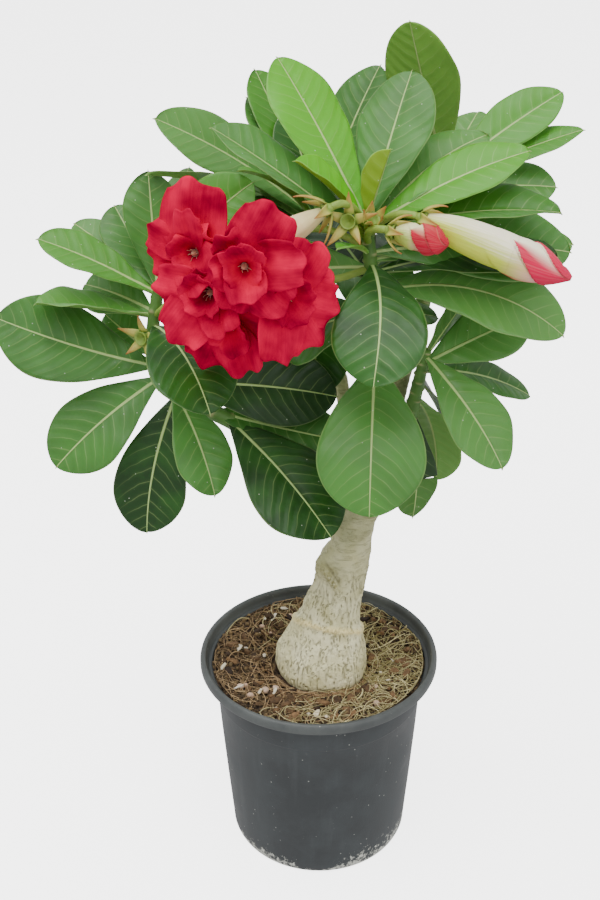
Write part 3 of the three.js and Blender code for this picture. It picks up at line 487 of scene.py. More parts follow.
# The leafy shoots are the plant's green, still soft upper stems. Leathery leaves stand round each tip in a
# whorl, on short stalks, and each leaf that fell left a crescent scar on the stem below.
# Each leaf: height on the stem, turn, rise, droop, length, width, roll, fold, sweep, wave
LEAVES = {
    "centre": [
        (432, 135, 55, 10, 102, 42, -10, 8), (431, 60, 60, 10, 88, 44), (433, -45, 70, 0, 44, 24, 0, 40),
        (429, 5, 35, 20, 94, 34, 30, 12), (427, -5, 20, 25, 102, 38, 15, 28),
        (416, 0, 10, 20, 108, 46, 45, 10), (412, 20, 5, 15, 126, 34, 40, 8),
        (430, -170, 55, 20, 54, 22, -20, 35), (422, 170, 40, 10, 102, 36, -15, 25),
        (410, -78, -5, 56, 82, 50, 0, 6, -30), (352, -95, -10, 70, 98, 60, 0, 6),
        (392, -15, 25, 65, 110, 46, 30, 8), (404, -5, 22, 30, 100, 42, 20, 15),
        (426, 30, 50, 40, 90, 36, 20, 10, 0, 3), (378, 20, 8, 30, 40, 18, 30, 10),
        (406, 58, 14, 20, 74, 40, 0, 10), (416, -125, 35, 30, 34, 12, 0, 20),
        (408, 172, 0, 15, 90, 46, -55, 8), (382, 155, -15, 25, 66, 44, -40, 8),
        (400, 118, 25, 10, 62, 44, -20, 8),
    ],
    "left": [
        (345, -175, 15, -12, 95, 50, -50, 6), (340, -160, -25, 20, 82, 44, -50, 6),
        (374, -170, 15, 8, 66, 34, 0, 28), (368, -60, 15, 70, 80, 50, 0, 6), (334, -55, -30, 40, 70, 36),
        (330, -135, -55, 30, 88, 44, -35, 6), (386, 180, 35, 15, 72, 30, -25, 15),
        (388, 100, 75, 5, 66, 32, 0, 6, 0, 2.5), (388, 125, 45, 10, 60, 34, -10),
        (386, 145, 35, 15, 68, 30, -20), (376, 150, 20, 20, 50, 32, -40), (352, 140, 15, -10, 44, 24, -40),
        (388, 8, 62, 30, 82, 40, 60), (388, 70, 55, 10, 76, 26), (312, -43, -18, 24, 96, 56, 15),
        (335, 5, 0, 15, 98, 46, 60), (318, -3, -16, -5, 84, 38, 40),
    ],
    "back_right": [
        (436, -128, 65, 0, 100, 44, 10, 6), (434, 20, 35, 10, 88, 34, 35, 15),
        (430, 5, 25, 10, 88, 26, 20, 15), (428, 60, 45, 20, 62, 30), (424, -5, 15, 20, 68, 36, 40),
        (420, 100, 20, 35, 84, 38), (412, 140, 30, 30, 78, 36), (400, 60, 0, 40, 86, 40),
    ],
    "right": [
        (356, -55, -20, 40, 78, 38, 20, 8, 20), (350, 15, 25, 10, 68, 36, 45, 10),
        (347, 20, -6, 30, 78, 24, 30, 10), (356, 35, 45, 0, 48, 26, -70, 10),
        (330, 55, -40, 50, 78, 34, 0, 10), (322, -70, -65, 40, 70, 28, 0, 10),
        (340, 62, -30, 30, 56, 40, 40, 8),
    ],
    "back_left": [
        (412, -170, 45, 20, 114, 40, -40, 12), (408, -160, 38, 30, 112, 26, 20, 20),
        (416, 130, 55, 5, 96, 36, 0, 10), (412, 140, 55, 10, 86, 30, 0, 10), (416, 35, 70, 15, 92, 40, 20),
        (410, 125, 70, 20, 70, 34), (404, -140, 65, 50, 80, 18, 0, 20), (398, -140, 45, 20, 62, 26, -30),
        (406, 75, 30, 40, 86, 40), (398, 150, 10, 40, 84, 38), (392, 105, -5, 35, 80, 40),
        (394, -32, -14, 8, 62, 46, 35, 8), (372, -100, -45, 20, 66, 40, 0, 8),
    ],
}
# Young leaves are lime green: how young, from 0 to 1, by shoot and leaf number
YOUNG = {
    ("centre", 0): 0.75, ("centre", 2): 1.0, ("centre", 3): 0.6, ("centre", 7): 0.95, ("centre", 4): 0.2,
    ("centre", 16): 0.7, ("back_left", 2): 0.35, ("left", 12): 0.35, ("back_left", 6): 0.5, ("left", 2): 0.15,
    ("back_right", 0): 0.4, ("back_right", 1): 0.35, ("back_right", 2): 0.3, ("left", 6): 0.25,
}
# How light a leaf is, from -1 to 1, by shoot and leaf number: part its own green, part painted shade at the
# low end and a painted sheen at the high end; the other leaves draw theirs at random
LEAF_TONE_AND_LIGHT = {
    ("centre", 1): 0.4, ("centre", 2): 0.5, ("centre", 3): -0.8, ("centre", 4): -0.5, ("centre", 8): 0.5,
    ("centre", 9): -0.3, ("centre", 11): 1.0, ("centre", 13): 1.0, ("left", 0): 0.2, ("left", 2): 1.0,
    ("left", 3): -0.4, ("left", 4): 0.5, ("left", 5): -0.7, ("left", 14): -0.65, ("left", 15): -0.9,
    ("back_right", 3): 1.0, ("back_right", 4): 0.6, ("right", 1): 1.0, ("right", 4): 1.0,
    ("back_left", 3): 0.7, ("back_left", 4): 0.2,
}
LEAF_ROWS = 50
LEAF_COLUMNS = 20
PETIOLE_WIDTH = 3.4
LEAF_THICKNESS = 0.7
PETIOLE_THICKNESS = 2.4
LEAF_TIP_LENGTH = 1.6
SIDE_VEIN_STEP = 7.5
SIDE_VEIN_LEAN = 0.45
SIDE_VEIN_BEND = 0.02


def on_stem(stem, height):
    """Where a stem passes a height."""
    low, high = 0.0, 1.0
    for _ in range(24):
        middle = (low + high) / 2
        if stem_point(stem["points"], middle)[2] < height:
            low = middle
        else:
            high = middle
    return stem_point(stem["points"], low)


def thin_sheet(points, normals, thickness, looks, upper=0, under=1):
    """A closed thin blade over rows and columns of points, its two faces in two materials."""
    rows, columns = points.shape[:2]
    top = points + normals * thickness[..., None] / 2
    bottom = points - normals * thickness[..., None] / 2
    faces = grid_faces(rows, columns)
    edge = [(0, j) for j in range(columns - 1)] + [(i, columns - 1) for i in range(rows - 1)]
    edge += [(rows - 1, j) for j in range(columns - 1, 0, -1)] + [(i, 0) for i in range(rows - 1, 0, -1)]
    ring = [i * columns + j for i, j in edge]
    count = rows * columns
    walls = [[a, b, b + count, a + count] for a, b in zip(ring, ring[1:] + ring[:1])]
    flat = {name: values.reshape(-1, 3) for name, values in looks.items()}
    below = [[i + count for i in face[::-1]] for face in faces.tolist()]
    return {
        "points": np.vstack([top.reshape(-1, 3), bottom.reshape(-1, 3)]),
        "faces": [*faces.tolist(), *walls, *below],
        "looks": {name: np.vstack([values, values]) for name, values in flat.items()},
        "materials": [upper] * (len(faces) + len(walls)) + [under] * len(below),
    }


def turned(vector, axis, angle):
    """A vector turned about an axis."""
    cosine, sine = math.cos(angle), math.sin(angle)
    return vector * cosine + np.cross(axis, vector) * sine + axis * np.dot(axis, vector) * (1 - cosine)


def leaf(base, draw, young, tone_and_light, turn, rise, droop, length, width, roll=0, fold=8, sweep=0, wave=1):
    """One leaf with its short stalk, as the source places it, with a curled edge and a small pointed tip."""
    rows, normals, thick, place, look = [], [], [], [], []
    spine = np.array(base, float)
    reached = 0.0
    tone, phase, curl = draw.uniform(-1, 1), draw.uniform(0, 6.28), draw.uniform(-0.06, 0.06)
    # A listed leaf's tone carries its own green with painted shade and a painted sheen
    if tone_and_light is not None:
        tone = tone_and_light

    def way(u):
        climb, heading = math.radians(rise - droop * u), math.radians(turn + sweep * u)
        flat = math.cos(climb)
        return np.array([flat * math.cos(heading), flat * math.sin(heading), math.sin(climb)])

    calm = min(1, width / 36)
    v = np.linspace(-1, 1, LEAF_COLUMNS + 1)
    v = np.sign(v) * np.abs(v) ** 0.9
    for i in range(LEAF_ROWS + 1):
        u = 1 - (1 - i / LEAF_ROWS) ** 1.35
        spine = spine + way((u + reached) / 2) * length * (u - reached)
        reached = u
        along = way(u)
        level = unit(np.array([-along[1], along[0], 0]))
        side = turned(level, along, math.radians(roll))
        normal = turned(np.cross(along, level), along, math.radians(roll))
        swell = max(0.0, math.sin(math.pi * u**1.75)) ** 0.6
        half = max(width / 2 * swell, PETIOLE_WIDTH / 2 * (1 - u) ** 0.3, 0.3)
        edge_wave = wave * calm * v**2 * u * np.sin(11 * u + 2 * v)
        ripple = 0.5 * calm * np.abs(v) ** 3 * np.sin(23 * u + phase + 1.5 * v) * min(1, 3 * u)
        across = half * np.abs(v)
        lift = across * math.sin(math.radians(fold)) - (0.1 + curl) * half * v**2 + edge_wave + ripple
        beat = (length * u - SIDE_VEIN_LEAN * across - SIDE_VEIN_BEND * across**2) / SIDE_VEIN_STEP
        pillow = np.cos(2 * np.pi * (beat + 0.4 * (v > 0) - 0.5)) * np.sin(np.pi * np.abs(v))
        lift = lift + 0.2 * pillow * min(1, 5 * u * (1 - u))
        keel = -0.5 * np.exp(-((half * v / 2.2) ** 2)) * min(1, 4 * u)
        row = spine + np.outer(half * v * math.cos(math.radians(fold)), side) + np.outer(lift + keel, normal)
        rows.append(row)
        normals.append(np.repeat(normal[None], len(v), 0))
        rim = LEAF_THICKNESS + (PETIOLE_THICKNESS - LEAF_THICKNESS) * max(0, 1 - 4 * u)
        keel_depth = 0.8 * (1 - u) * np.exp(-((half * v) ** 2))
        thick.append(rim * (1 - 0.5 * np.abs(v) ** 4 * min(1, 4 * u)) + keel_depth)
        place.append(np.stack([0 * v + length * u, half * v, np.abs(v)], 1))
        look.append(np.stack([0 * v + tone, 0 * v + young, 0 * v + u], 1))
    tip = unit(rows[-1].mean(0) - rows[-3].mean(0))
    rows.append(rows[-1].mean(0) + tip * LEAF_TIP_LENGTH + (rows[-1] - rows[-1].mean(0)) * 0.15)
    normals.append(normals[-1])
    thick.append(thick[-1] * 0.5)
    place.append(place[-1] + np.array([LEAF_TIP_LENGTH, 0, 0]))
    look.append(look[-1])
    looks = {"leaf_place": np.array(place), "leaf_look": np.array(look)}
    return thin_sheet(np.array(rows), np.array(normals), np.array(thick), looks)


def leaf_skin(name, dark, green, young, youngest, vein, roughness, relief):
    """A desert rose leaf: a leathery cuticle with a painted sheen over a pale midrib and looped side veins.
    """
    material, tree, shader = finish_of(
        name, roughness, IOR=1.42, Specular_IOR_Level=0.45, Subsurface_Weight=0.06, Subsurface_Scale=0.001,
    )
    place = add(tree, "Attribute", attribute_name="leaf_place").outputs["Vector"]
    look = add(tree, "Attribute", attribute_name="leaf_look").outputs["Vector"]
    where = add(tree, "SeparateXYZ", place)
    state = add(tree, "SeparateXYZ", look)
    room = add(tree, "TexCoord").outputs["Object"]

    # Side veins leave the midrib every SIDE_VEIN_STEP, lean to the tip and bend up towards the margin
    wobble = add(tree, "TexNoise", room, per_mm(12), 2.0)
    out = add(tree, "Math", where.outputs["Y"], operation="ABSOLUTE")
    lean = add(tree, "Math", out, SIDE_VEIN_LEAN, operation="MULTIPLY")
    square = add(tree, "Math", out, 2.0, operation="POWER")
    bend = add(tree, "Math", square, SIDE_VEIN_BEND, lean, operation="MULTIPLY_ADD")
    level = add(tree, "Math", where.outputs["X"], bend, operation="SUBTRACT")
    shifted = add(tree, "Math", wobble, 3.6, level, operation="MULTIPLY_ADD")
    side = add(tree, "Math", where.outputs["Y"], 0.0, operation="GREATER_THAN")
    staggered = add(tree, "Math", side, SIDE_VEIN_STEP * 0.4, shifted, operation="MULTIPLY_ADD")
    steps = add(tree, "Math", staggered, SIDE_VEIN_STEP, operation="DIVIDE")
    beat = add(tree, "Math", steps, operation="FRACT")
    centred = add(tree, "Math", beat, 0.5, operation="SUBTRACT")
    away = add(tree, "Math", centred, operation="ABSOLUTE")
    line = add(tree, "MapRange", away, 0.018, 0.06, 1.0, 0.0)
    near = add(tree, "MapRange", where.outputs["Z"], 0.35, 0.9, 0.17, 0.03)
    side_veins = add(tree, "Math", line, near, operation="MULTIPLY")
    taper = add(tree, "MapRange", state.outputs["Z"], 0, 1, 1.25, 0.35)
    inner = add(tree, "Math", taper, 0.55, operation="MULTIPLY")
    midrib = add(tree, "MapRange", out, inner, taper, 1.0, 0.0)
    veins = add(tree, "Math", side_veins, midrib, operation="MAXIMUM")
    margin = add(tree, "MapRange", where.outputs["Z"], 0.965, 0.995, 0, 0.3)
    marked = add(tree, "Math", veins, margin, operation="MAXIMUM")

    # Colour runs from the shoot's own green to lime in young leaves, deeper between the veins
    cloud = add(tree, "TexNoise", room, per_mm(22), 3.0)
    cloud_soft = add(tree, "MapRange", cloud, 0.2, 0.8, 0.32, 0.68)
    # The tone darkens a leaf with painted shade at its low end and lightens it at its high end
    shade = add(tree, "Math", state.outputs["X"], 0.3, cloud_soft, operation="MULTIPLY_ADD")
    depth = add(tree, "MapRange", shade, 0.25, 0.75)
    body = add(tree, "Mix", depth, dark, green, data_type="RGBA")
    # Painted sheen: lighter leaves are mixed towards a pale green
    painted_sheen = add(tree, "MapRange", state.outputs["X"], -0.2, 1.0, 0, 0.22)
    body = add(tree, "Mix", painted_sheen, body, "#8fbf70", data_type="RGBA")
    ages = add(tree, "ValToRGB", state.outputs["Y"])
    ages.color_ramp.elements[0].position, ages.color_ramp.elements[0].color = 0.7, linear(young)
    ages.color_ramp.elements[1].position, ages.color_ramp.elements[1].color = 0.98, linear(youngest)
    youth = add(tree, "MapRange", state.outputs["Y"], 0, 0.7)
    fresh = add(tree, "Mix", youth, body, ages, data_type="RGBA")
    halo = add(tree, "MapRange", away, 0.03, 0.3, 0.12, 0.0)
    lit = add(tree, "Math", halo, near, operation="MULTIPLY")
    glowing = add(tree, "Mix", lit, fresh, vein, data_type="RGBA")
    veined = add(tree, "Mix", marked, glowing, vein, data_type="RGBA")
    speck = add(tree, "TexVoronoi", room, per_mm(6))
    spot = add(tree, "MapRange", speck, 0.03, 0.065, 0.6, 0.0)
    colour = add(tree, "Mix", spot, veined, "#e4ead6", data_type="RGBA")

    # The blade swells a little between its veins, and the midrib stands proud
    pillow = add(tree, "MapRange", away, 0, 0.5, 1.0, 0.0, interpolation_type="SMOOTHSTEP")
    swell = add(tree, "Math", midrib, 2.2, pillow, operation="MULTIPLY_ADD")
    sheen = add(tree, "TexNoise", room, per_mm(9), 3.0)
    rough = add(tree, "MapRange", sheen, 0.3, 0.7, roughness - 0.06, roughness + 0.1)
    join_colour(tree, shader, colour, swell, relief, rough)
    return material


leaf_upper = leaf_skin("leaf_cuticle_upper", "#173a0e", "#35731f", "#55a022", "#5cae04", "#abc67a", 0.4, 0.15)
# The underside's greens are its own paler green, raised as painted light for light that shines through the
# leaf
leaf_under = leaf_skin("leaf_cuticle_under", "#416f26", "#5c8e38", "#7fb046", "#86ac26", "#a2bd70", 0.5, 0.25)

# Green stem: a smooth living skin that has not turned to bark yet, dotted and crossed by leaf scars
green_stem, tree, shader = finish_of("adenium_green_stem", 0.5, IOR=1.42)
place = add(tree, "TexCoord").outputs["Object"]
cloud = add(tree, "TexNoise", place, per_mm(7), 5.0)
skin = add(tree, "Mix", cloud, "#355c20", "#5f8a3c", data_type="RGBA")
stalk = add(tree, "Attribute", attribute_name="stalk").outputs["Vector"]
worn = add(tree, "SeparateXYZ", stalk)
scarred = add(tree, "Mix", worn.outputs["Z"], skin, "#a3a06f", data_type="RGBA")
grain = add(tree, "TexNoise", place, per_mm(1.6), 3.0)
join_colour(tree, shader, scarred, grain, 0.2)

CLEARANCE = 0.3
SCARS = 26
SCAR_TURN = 2.4
STEM_ROWS = 110
STEM_SIDES = 30
PLANT_SEED = 21
draw = np.random.default_rng(PLANT_SEED)
for shoot, stem in STEMS.items():
    node = "leafy_shoot_" + shoot
    blades = []
    for number, (height, *form) in enumerate(LEAVES[shoot]):
        age = YOUNG.get((shoot, number), 0.0)
        tone_and_light = LEAF_TONE_AND_LIGHT.get((shoot, number))
        blades.append(leaf(on_stem(stem, height), draw, age, tone_and_light, *form))
    make_piece("leaves_" + shoot, blades, [leaf_upper, leaf_under], "leaf", node)

    centres = [stem_point(stem["points"], t) for t in np.linspace(stem["bark"], 1, STEM_ROWS + 1)]
    centres[0] = centres[0] + unit(centres[1] - centres[0]) * CLEARANCE

    def scars(share, angles, high, wide):
        """How much of a leaf scar there is at places on the stem, for scars so high and wide."""
        amount = 0 * angles
        for k, row in enumerate(np.linspace(0.02, 0.98, SCARS)):
            turn = (angles - SCAR_TURN * k + np.pi) % (2 * np.pi) - np.pi
            amount = amount + np.exp(-(((share - row) / high) ** 2) - (turn / wide) ** 2)
        return amount

    def scarred_radius(share, angles):
        radius = stem_radius(stem, stem["bark"] + (1 - stem["bark"]) * share)
        return radius * (1 + 0.02 * np.sin(3 * angles + 9 * share)) + 0.75 * scars(share, angles, 0.011, 0.62)

    shell = tube(centres, scarred_radius, STEM_SIDES)
    stalk = shell["looks"]["stalk"]
    stalk[:, 2] = np.clip(scars(stalk[:, 0], stalk[:, 1], 0.008, 0.5), 0, 0.8)
    make_piece("stem_" + shoot, [shell], [green_stem], "leaf", node)

# The flowers are double: ruffled petals in several rings, wrapped round a narrow throat, on a cream tube
# that stands in a five-pointed calyx. Each tube bends back to the stalk that carries it.
# Each flower: throat, facing as turn and rise, calyx, stem, the height where its stalk leaves the stem,
# and petals as way round (0 right, 90 up), lean, length, width
FLOWERS = [
    {
        "throat": (-65, -55, 428), "facing": (-110, 10), "calyx": (-62, -14, 414),
        "stem": "left", "node": 384, "sepal": 11, "spread": 40, "swell": 0.8,
        "petals": [
            (84, 75, 42, 40), (150, 62, 26, 24), (190, 78, 26, 26), (30, 35, 22, 24), (255, 35, 14, 20),
        ],
        "inner": [(85, 46, 30, 17), (318, 40, 27, 32), (150, 22, 17, 16), (215, 20, 14, 16)],
    },
    {
        "throat": (-38, -78, 428), "facing": (-95, 5), "calyx": (2, -40, 445),
        "stem": "centre", "node": 428, "sepal": 16, "spread": 55, "swell": 3.4,
        "petals": [
            (62, 74, 40, 34), (10, 58, 34, 28), (315, 74, 32, 30), (250, 56, 22, 24), (190, 40, 20, 24),
            (120, 45, 22, 20),
        ],
        "inner": [
            (112, 26, 22, 17), (60, 30, 22, 18), (285, 32, 22, 24), (200, 18, 15, 16), (350, 20, 17, 16),
        ],
    },
    {
        "throat": (-57, -67, 411), "facing": (-110, 5), "calyx": (-62, -26, 400),
        "stem": "left", "node": 374, "sepal": 11, "spread": 40, "swell": 0.4,
        "petals": [
            (175, 80, 32, 26), (235, 66, 32, 32), (110, 36, 17, 22), (300, 50, 24, 24), (40, 28, 15, 18),
        ],
        "inner": [(60, 20, 16, 18), (150, 30, 18, 18), (215, 24, 17, 18), (335, 24, 17, 18)],
    },
    {
        "throat": (-48, -60, 391), "facing": (-95, -20), "calyx": (-22, -30, 401),
        "stem": "centre", "node": 408, "sepal": 11, "spread": 40, "swell": 0.4,
        "petals": [
            (315, 76, 32, 30), (245, 84, 34, 34), (285, 66, 34, 28), (200, 72, 26, 24), (20, 60, 24, 28),
        ],
        "inner": [(110, 20, 17, 18), (300, 30, 20, 20), (200, 22, 16, 18), (20, 22, 17, 18)],
    },
    {
        "throat": (-18, -69, 410), "facing": (-65, 0), "calyx": (-14, -28, 425),
        "stem": "centre", "node": 418, "sepal": 15, "spread": 50, "swell": 0.8,
        "petals": [
            (300, 84, 38, 34), (340, 68, 30, 30), (20, 84, 30, 30), (60, 68, 32, 30), (258, 68, 38, 30),
            (150, 30, 16, 20),
        ],
        "inner": [(210, 24, 20, 20), (30, 26, 19, 20), (120, 22, 17, 18), (300, 30, 20, 20)],
    },
]
PETAL_ROWS = 26
PETAL_COLUMNS = 30
PETAL_THICKNESS = 0.55
THROAT_DEPTH = 9
CUP_DEPTH = 12
TUBE_RADIUS = 5
FAN = 0.36
FIRST_INNER = 7


def facing_frame(turn, rise):
    """The front, right and up of a flower that faces turn and rise."""
    turn, rise = math.radians(turn), math.radians(rise)
    flat = math.cos(rise)
    front = np.array([flat * math.cos(turn), flat * math.sin(turn), math.sin(rise)])
    right = unit(np.cross([0, 0, 1], front))
    return front, right, np.cross(front, right)


def eased(value, low, high):
    """A soft step from 0 at low to 1 at high."""
    share = np.clip((value - low) / (high - low), 0, 1)
    return share * share * (3 - 2 * share)


def petal(throat, frame_of, around, spread, length, width, number):
    """A petal wrapped round the throat at its foot, opening to a ruffled blade with a crimped edge."""
    front, right, up = frame_of
    around = math.radians(around)
    out = right * math.cos(around) + up * math.sin(around)
    side = np.cross(front, out)
    inner = number >= FIRST_INNER
    v = np.linspace(-1, 1, PETAL_COLUMNS + 1)
    radius, height = (2.0, -5.5) if inner else (2.2 + 2.6 * (number % 2), -THROAT_DEPTH)
    soft = min(1, length / 32) * (0.4 if inner else 1)
    rows, normals, look = [], [], []
    for i in range(PETAL_ROWS + 1):
        u = i / PETAL_ROWS

        def lean(share):
            opened = eased(share, 0, 0.3 if inner else 0.45)
            return math.radians(15 + (spread - 15) * opened + 10 * share)

        if i:
            angle = lean(u - 0.5 / PETAL_ROWS)
            radius += math.sin(angle) * length / PETAL_ROWS
            height += math.cos(angle) * length / PETAL_ROWS
        tangent = out * math.sin(lean(u)) + front * math.cos(lean(u))
        normal = front * math.sin(lean(u)) - out * math.cos(lean(u))
        grow = 0.22 + 0.78 * math.sin(math.pi / 2 * min(1, u / 0.6))
        outer = max(0.0, (u - 0.45) / 0.55)
        reach = np.sqrt(1 - FAN * v**2)
        half = width / 2 * grow * math.sqrt(1 - FAN * outer**2)
        bend = radius + length * u * u
        turn = half * v / bend
        swell = 1.5 * u * np.sin(1.5 * np.pi * v + 1.3 * number + 2 * u)
        frill = 0.4 * eased(u, 0.55, 1) * np.sin(2.7 * np.pi * v + 2.7 * number) * v**2
        groove = -0.6 * np.exp(-(((v - 0.1 * math.sin(number)) / 0.2) ** 2)) * eased(u, 0.1, 0.5)
        rolled = -1.2 * eased(u, 0.3, 0.9) * np.abs(v) ** 5 - 0.9 * eased(u, 0.84, 1.0)
        wave = 1.6 * u * u * np.sin(1.7 * np.pi * v + 1.9 * number)
        ruffle = soft * (wave + swell + frill) + groove + rolled
        lobes = 0.04 * np.sin(1.7 * np.pi * v + 1.4 * number) + 0.005 * np.sin(4.3 * np.pi * v + 2 * number)
        edge = length * (0.55 * outer * (reach - 1) + lobes * eased(u, 0.6, 1))
        point = throat + front * height + np.outer(radius - bend * (1 - np.cos(turn)), out)
        point = point + np.outer(bend * np.sin(turn), side)
        rows.append(point + np.outer(ruffle, normal) + np.outer(edge, tangent))
        level = np.outer(np.cos(turn), out) + np.outer(np.sin(turn), side)
        normals.append(front * math.sin(lean(u)) - level * math.cos(lean(u)))
        look.append(np.stack([0 * v + u, half * v, 0 * v + number], 1))
    thick = np.full((PETAL_ROWS + 1, PETAL_COLUMNS + 1), PETAL_THICKNESS)
    return thin_sheet(np.array(rows), np.array(normals), thick, {"petal_place": np.array(look)})


def turned_shell(centre, frame_of, profile, sides, attribute="petal_place"):
    """A closed round shell about a flower's axis, from a profile of radius and height."""
    front, right, up = frame_of
    ring = np.outer(np.cos(compass(sides)), right) + np.outer(np.sin(compass(sides)), up)
    shell = looped([centre + ring * radius + front * height for radius, height in profile])
    return {**shell, "looks": {attribute: np.zeros((len(profile) * sides, 3))}}


def petal_skin(name, deep, bright, foot, roughness):
    """A petal: velvety because each skin cell is a tiny cone, streaked along its length by fine veins."""
    material, tree, shader = finish_of(
        name, roughness, IOR=1.4, Specular_IOR_Level=0.06, Specular_Tint=linear("#ff5080"),
    )
    place = add(tree, "Attribute", attribute_name="petal_place").outputs["Vector"]
    where = add(tree, "SeparateXYZ", place)
    room = add(tree, "TexCoord").outputs["Object"]
    streaks = add(tree, "Mapping", place, named={"Scale": (1.3, 0.8, 3.7)})
    streak = add(tree, "TexNoise", streaks, 1.0, 5.0, 0.6)
    cloud = add(tree, "TexNoise", room, per_mm(15), 2.0)
    blend = add(tree, "Math", streak, 0.22, cloud, operation="MULTIPLY_ADD")
    tone = add(tree, "MapRange", blend, 0.42, 0.78)
    body = add(tree, "Mix", tone, deep, bright, data_type="RGBA")
    # Towards its foot a petal turns to the foot colour: painted shade on the upper side, its own pale pink
    # beneath
    base = add(tree, "MapRange", where.outputs["X"], 0.08, 0.42, 0.8, 0.0)
    patchy = add(tree, "Math", base, streak, operation="MULTIPLY")
    colour = add(tree, "Mix", patchy, body, foot, data_type="RGBA")
    fine = add(tree, "Mapping", place, named={"Scale": (6.0, 2.6, 1.0)})
    vein = add(tree, "TexNoise", fine, 1.0, 3.0)
    join_colour(tree, shader, colour, vein, 0.14)
    return material


# The upper side's near-black foot is painted shade deep in the throat
petal_upper = petal_skin("petal_velvet_upper", "#90002a", "#e20044", "#4c0012", 0.6)
petal_under = petal_skin("petal_velvet_under", "#a80838", "#e03068", "#f6b8c4", 0.6)

# Stamens end in pale downy tails that close the throat
stamen_down, tree, shader = finish_of("stamen_down", 0.7, IOR=1.4, Sheen_Weight=0.5)
place = add(tree, "TexCoord").outputs["Object"]
cloud = add(tree, "TexNoise", place, per_mm(3), 2.0)
pale = add(tree, "Mix", cloud, "#9a5a3c", "#eebc98", data_type="RGBA")
join_colour(tree, shader, pale, cloud, 0.2)

CUP = [
    (0.01, -12), (4.7, -12), (5.0, -10), (5.1, -7), (5.4, -5.2), (4.9, -4.9), (4.2, -6.4), (2.6, -8.4),
    (0.01, -9.2),
]
CONE = [(0.01, -8.9), (2.3, -8.9), (2.2, -6.0), (1.7, -3.6), (1.1, -1.8), (0.5, -0.4), (0.01, -0.1)]
STAMENS = 7
for number, flower in enumerate(FLOWERS):
    name = "flower_" + str(number + 1)
    throat = np.array(flower["throat"], float)
    frame_of = facing_frame(*flower["facing"])
    front, right, up = frame_of
    shells = [petal(throat, frame_of, *row, i) for i, row in enumerate(flower["petals"])]
    shells += [petal(throat, frame_of, *row, FIRST_INNER + i) for i, row in enumerate(flower["inner"])]
    shells.append(turned_shell(throat, frame_of, CUP, 32))
    make_piece(name + "_corolla", shells, [petal_upper, petal_under], "petal", name + "_petals")

    tails = [turned_shell(throat, frame_of, CONE, 24, "stalk")]
    for k in range(STAMENS):
        around = 2 * np.pi * (k + draw.uniform(-0.3, 0.3)) / STAMENS
        out = right * math.cos(around) + up * math.sin(around)
        reach, high = draw.uniform(0.6, 3.4), draw.uniform(-1.0, 1.2)
        steps = np.linspace(0, 1, 9)
        line = [throat + out * (1.2 + reach * s**2) + front * (-8.6 + (8.6 + high) * s) for s in steps]
        line = [point + right * 0.4 * math.sin(9 * s + k) for point, s in zip(line, steps)]
        tails.append(tube(line, lambda s, angles: 0.32 - 0.14 * s + 0 * angles, 6, side=right))
    make_piece(name + "_stamens", tails, [stamen_down], "flower_tube")


def bent(start, middle, end, share):
    """A point on the curve that leaves start towards middle and arrives at end from it."""
    return start * (1 - share) ** 2 + middle * 2 * share * (1 - share) + end * share**2


def tube_line(flower, rows):
    """The middle of a flower's tube, from behind its petals to its calyx."""
    front = facing_frame(*flower["facing"])[0]
    throat, end = np.array(flower["throat"], float), np.array(flower["calyx"], float)
    start = throat - front * (CUP_DEPTH + CLEARANCE)
    return [bent(start, throat - front * 30, end, s) for s in np.linspace(0, 0.99, rows)]


# The tube of a flower is thin and downy, cream with a green foot and a pink flush below the petals
tube_skin, tree, shader = finish_of(
    "flower_tube_downy", 0.62, IOR=1.4, Sheen_Weight=0.3, Subsurface_Weight=0.1,
)
stalk = add(tree, "Attribute", attribute_name="stalk").outputs["Vector"]
along = add(tree, "SeparateXYZ", stalk)
place = add(tree, "TexCoord").outputs["Object"]
cloud = add(tree, "TexNoise", place, per_mm(5), 3.0)
flush = add(tree, "MapRange", along.outputs["X"], 0, 0.35, 0.8, 0.0)
cream = add(tree, "Mix", cloud, "#e6bc88", "#f8dcae", data_type="RGBA")
pink = add(tree, "Mix", flush, cream, "#e08e93", data_type="RGBA")
foot = add(tree, "MapRange", along.outputs["X"], 0.7, 1.0, 0, 0.7)
colour = add(tree, "Mix", foot, pink, "#cdd08a", data_type="RGBA")
join_colour(tree, shader, colour, cloud, 0.3)
for number, flower in enumerate(FLOWERS):
    name = "flower_" + str(number + 1) + "_tube"

    def ribbed(share, angles):
        swell = flower["swell"] * math.sin(math.pi * share**2) - 2.2 * share**2
        return TUBE_RADIUS + swell + 0.18 * np.sin(5 * angles) + 0.1 * np.sin(11 * angles + 9 * share)

    shell = tube(tube_line(flower, 40), ribbed, 40, facing_frame(*flower["facing"])[2])
    make_piece(name + "_downy", [shell], [tube_skin], "flower_tube", name)

# A calyx is five narrow sepals on a short green cup, with rusty tips that dry first; a thin stalk holds it.
calyx_skin, tree, shader = finish_of("calyx_green", 0.5, IOR=1.42, Subsurface_Weight=0.05)
stalk = add(tree, "Attribute", attribute_name="stalk").outputs["Vector"]
along = add(tree, "SeparateXYZ", stalk)
place = add(tree, "TexCoord").outputs["Object"]
cloud = add(tree, "TexNoise", place, per_mm(4), 4.0)
green = add(tree, "Mix", cloud, "#63872c", "#98ad4e", data_type="RGBA")
pale = add(tree, "MapRange", along.outputs["Z"], 0.02, 0.2, 0, 0.8)
yellowed = add(tree, "Mix", pale, green, "#c0b45a", data_type="RGBA")
rust = add(tree, "MapRange", along.outputs["Z"], 0.3, 0.95, 0, 0.85)
colour = add(tree, "Mix", rust, yellowed, "#a0401e", data_type="RGBA")
join_colour(tree, shader, colour, cloud, 0.3)

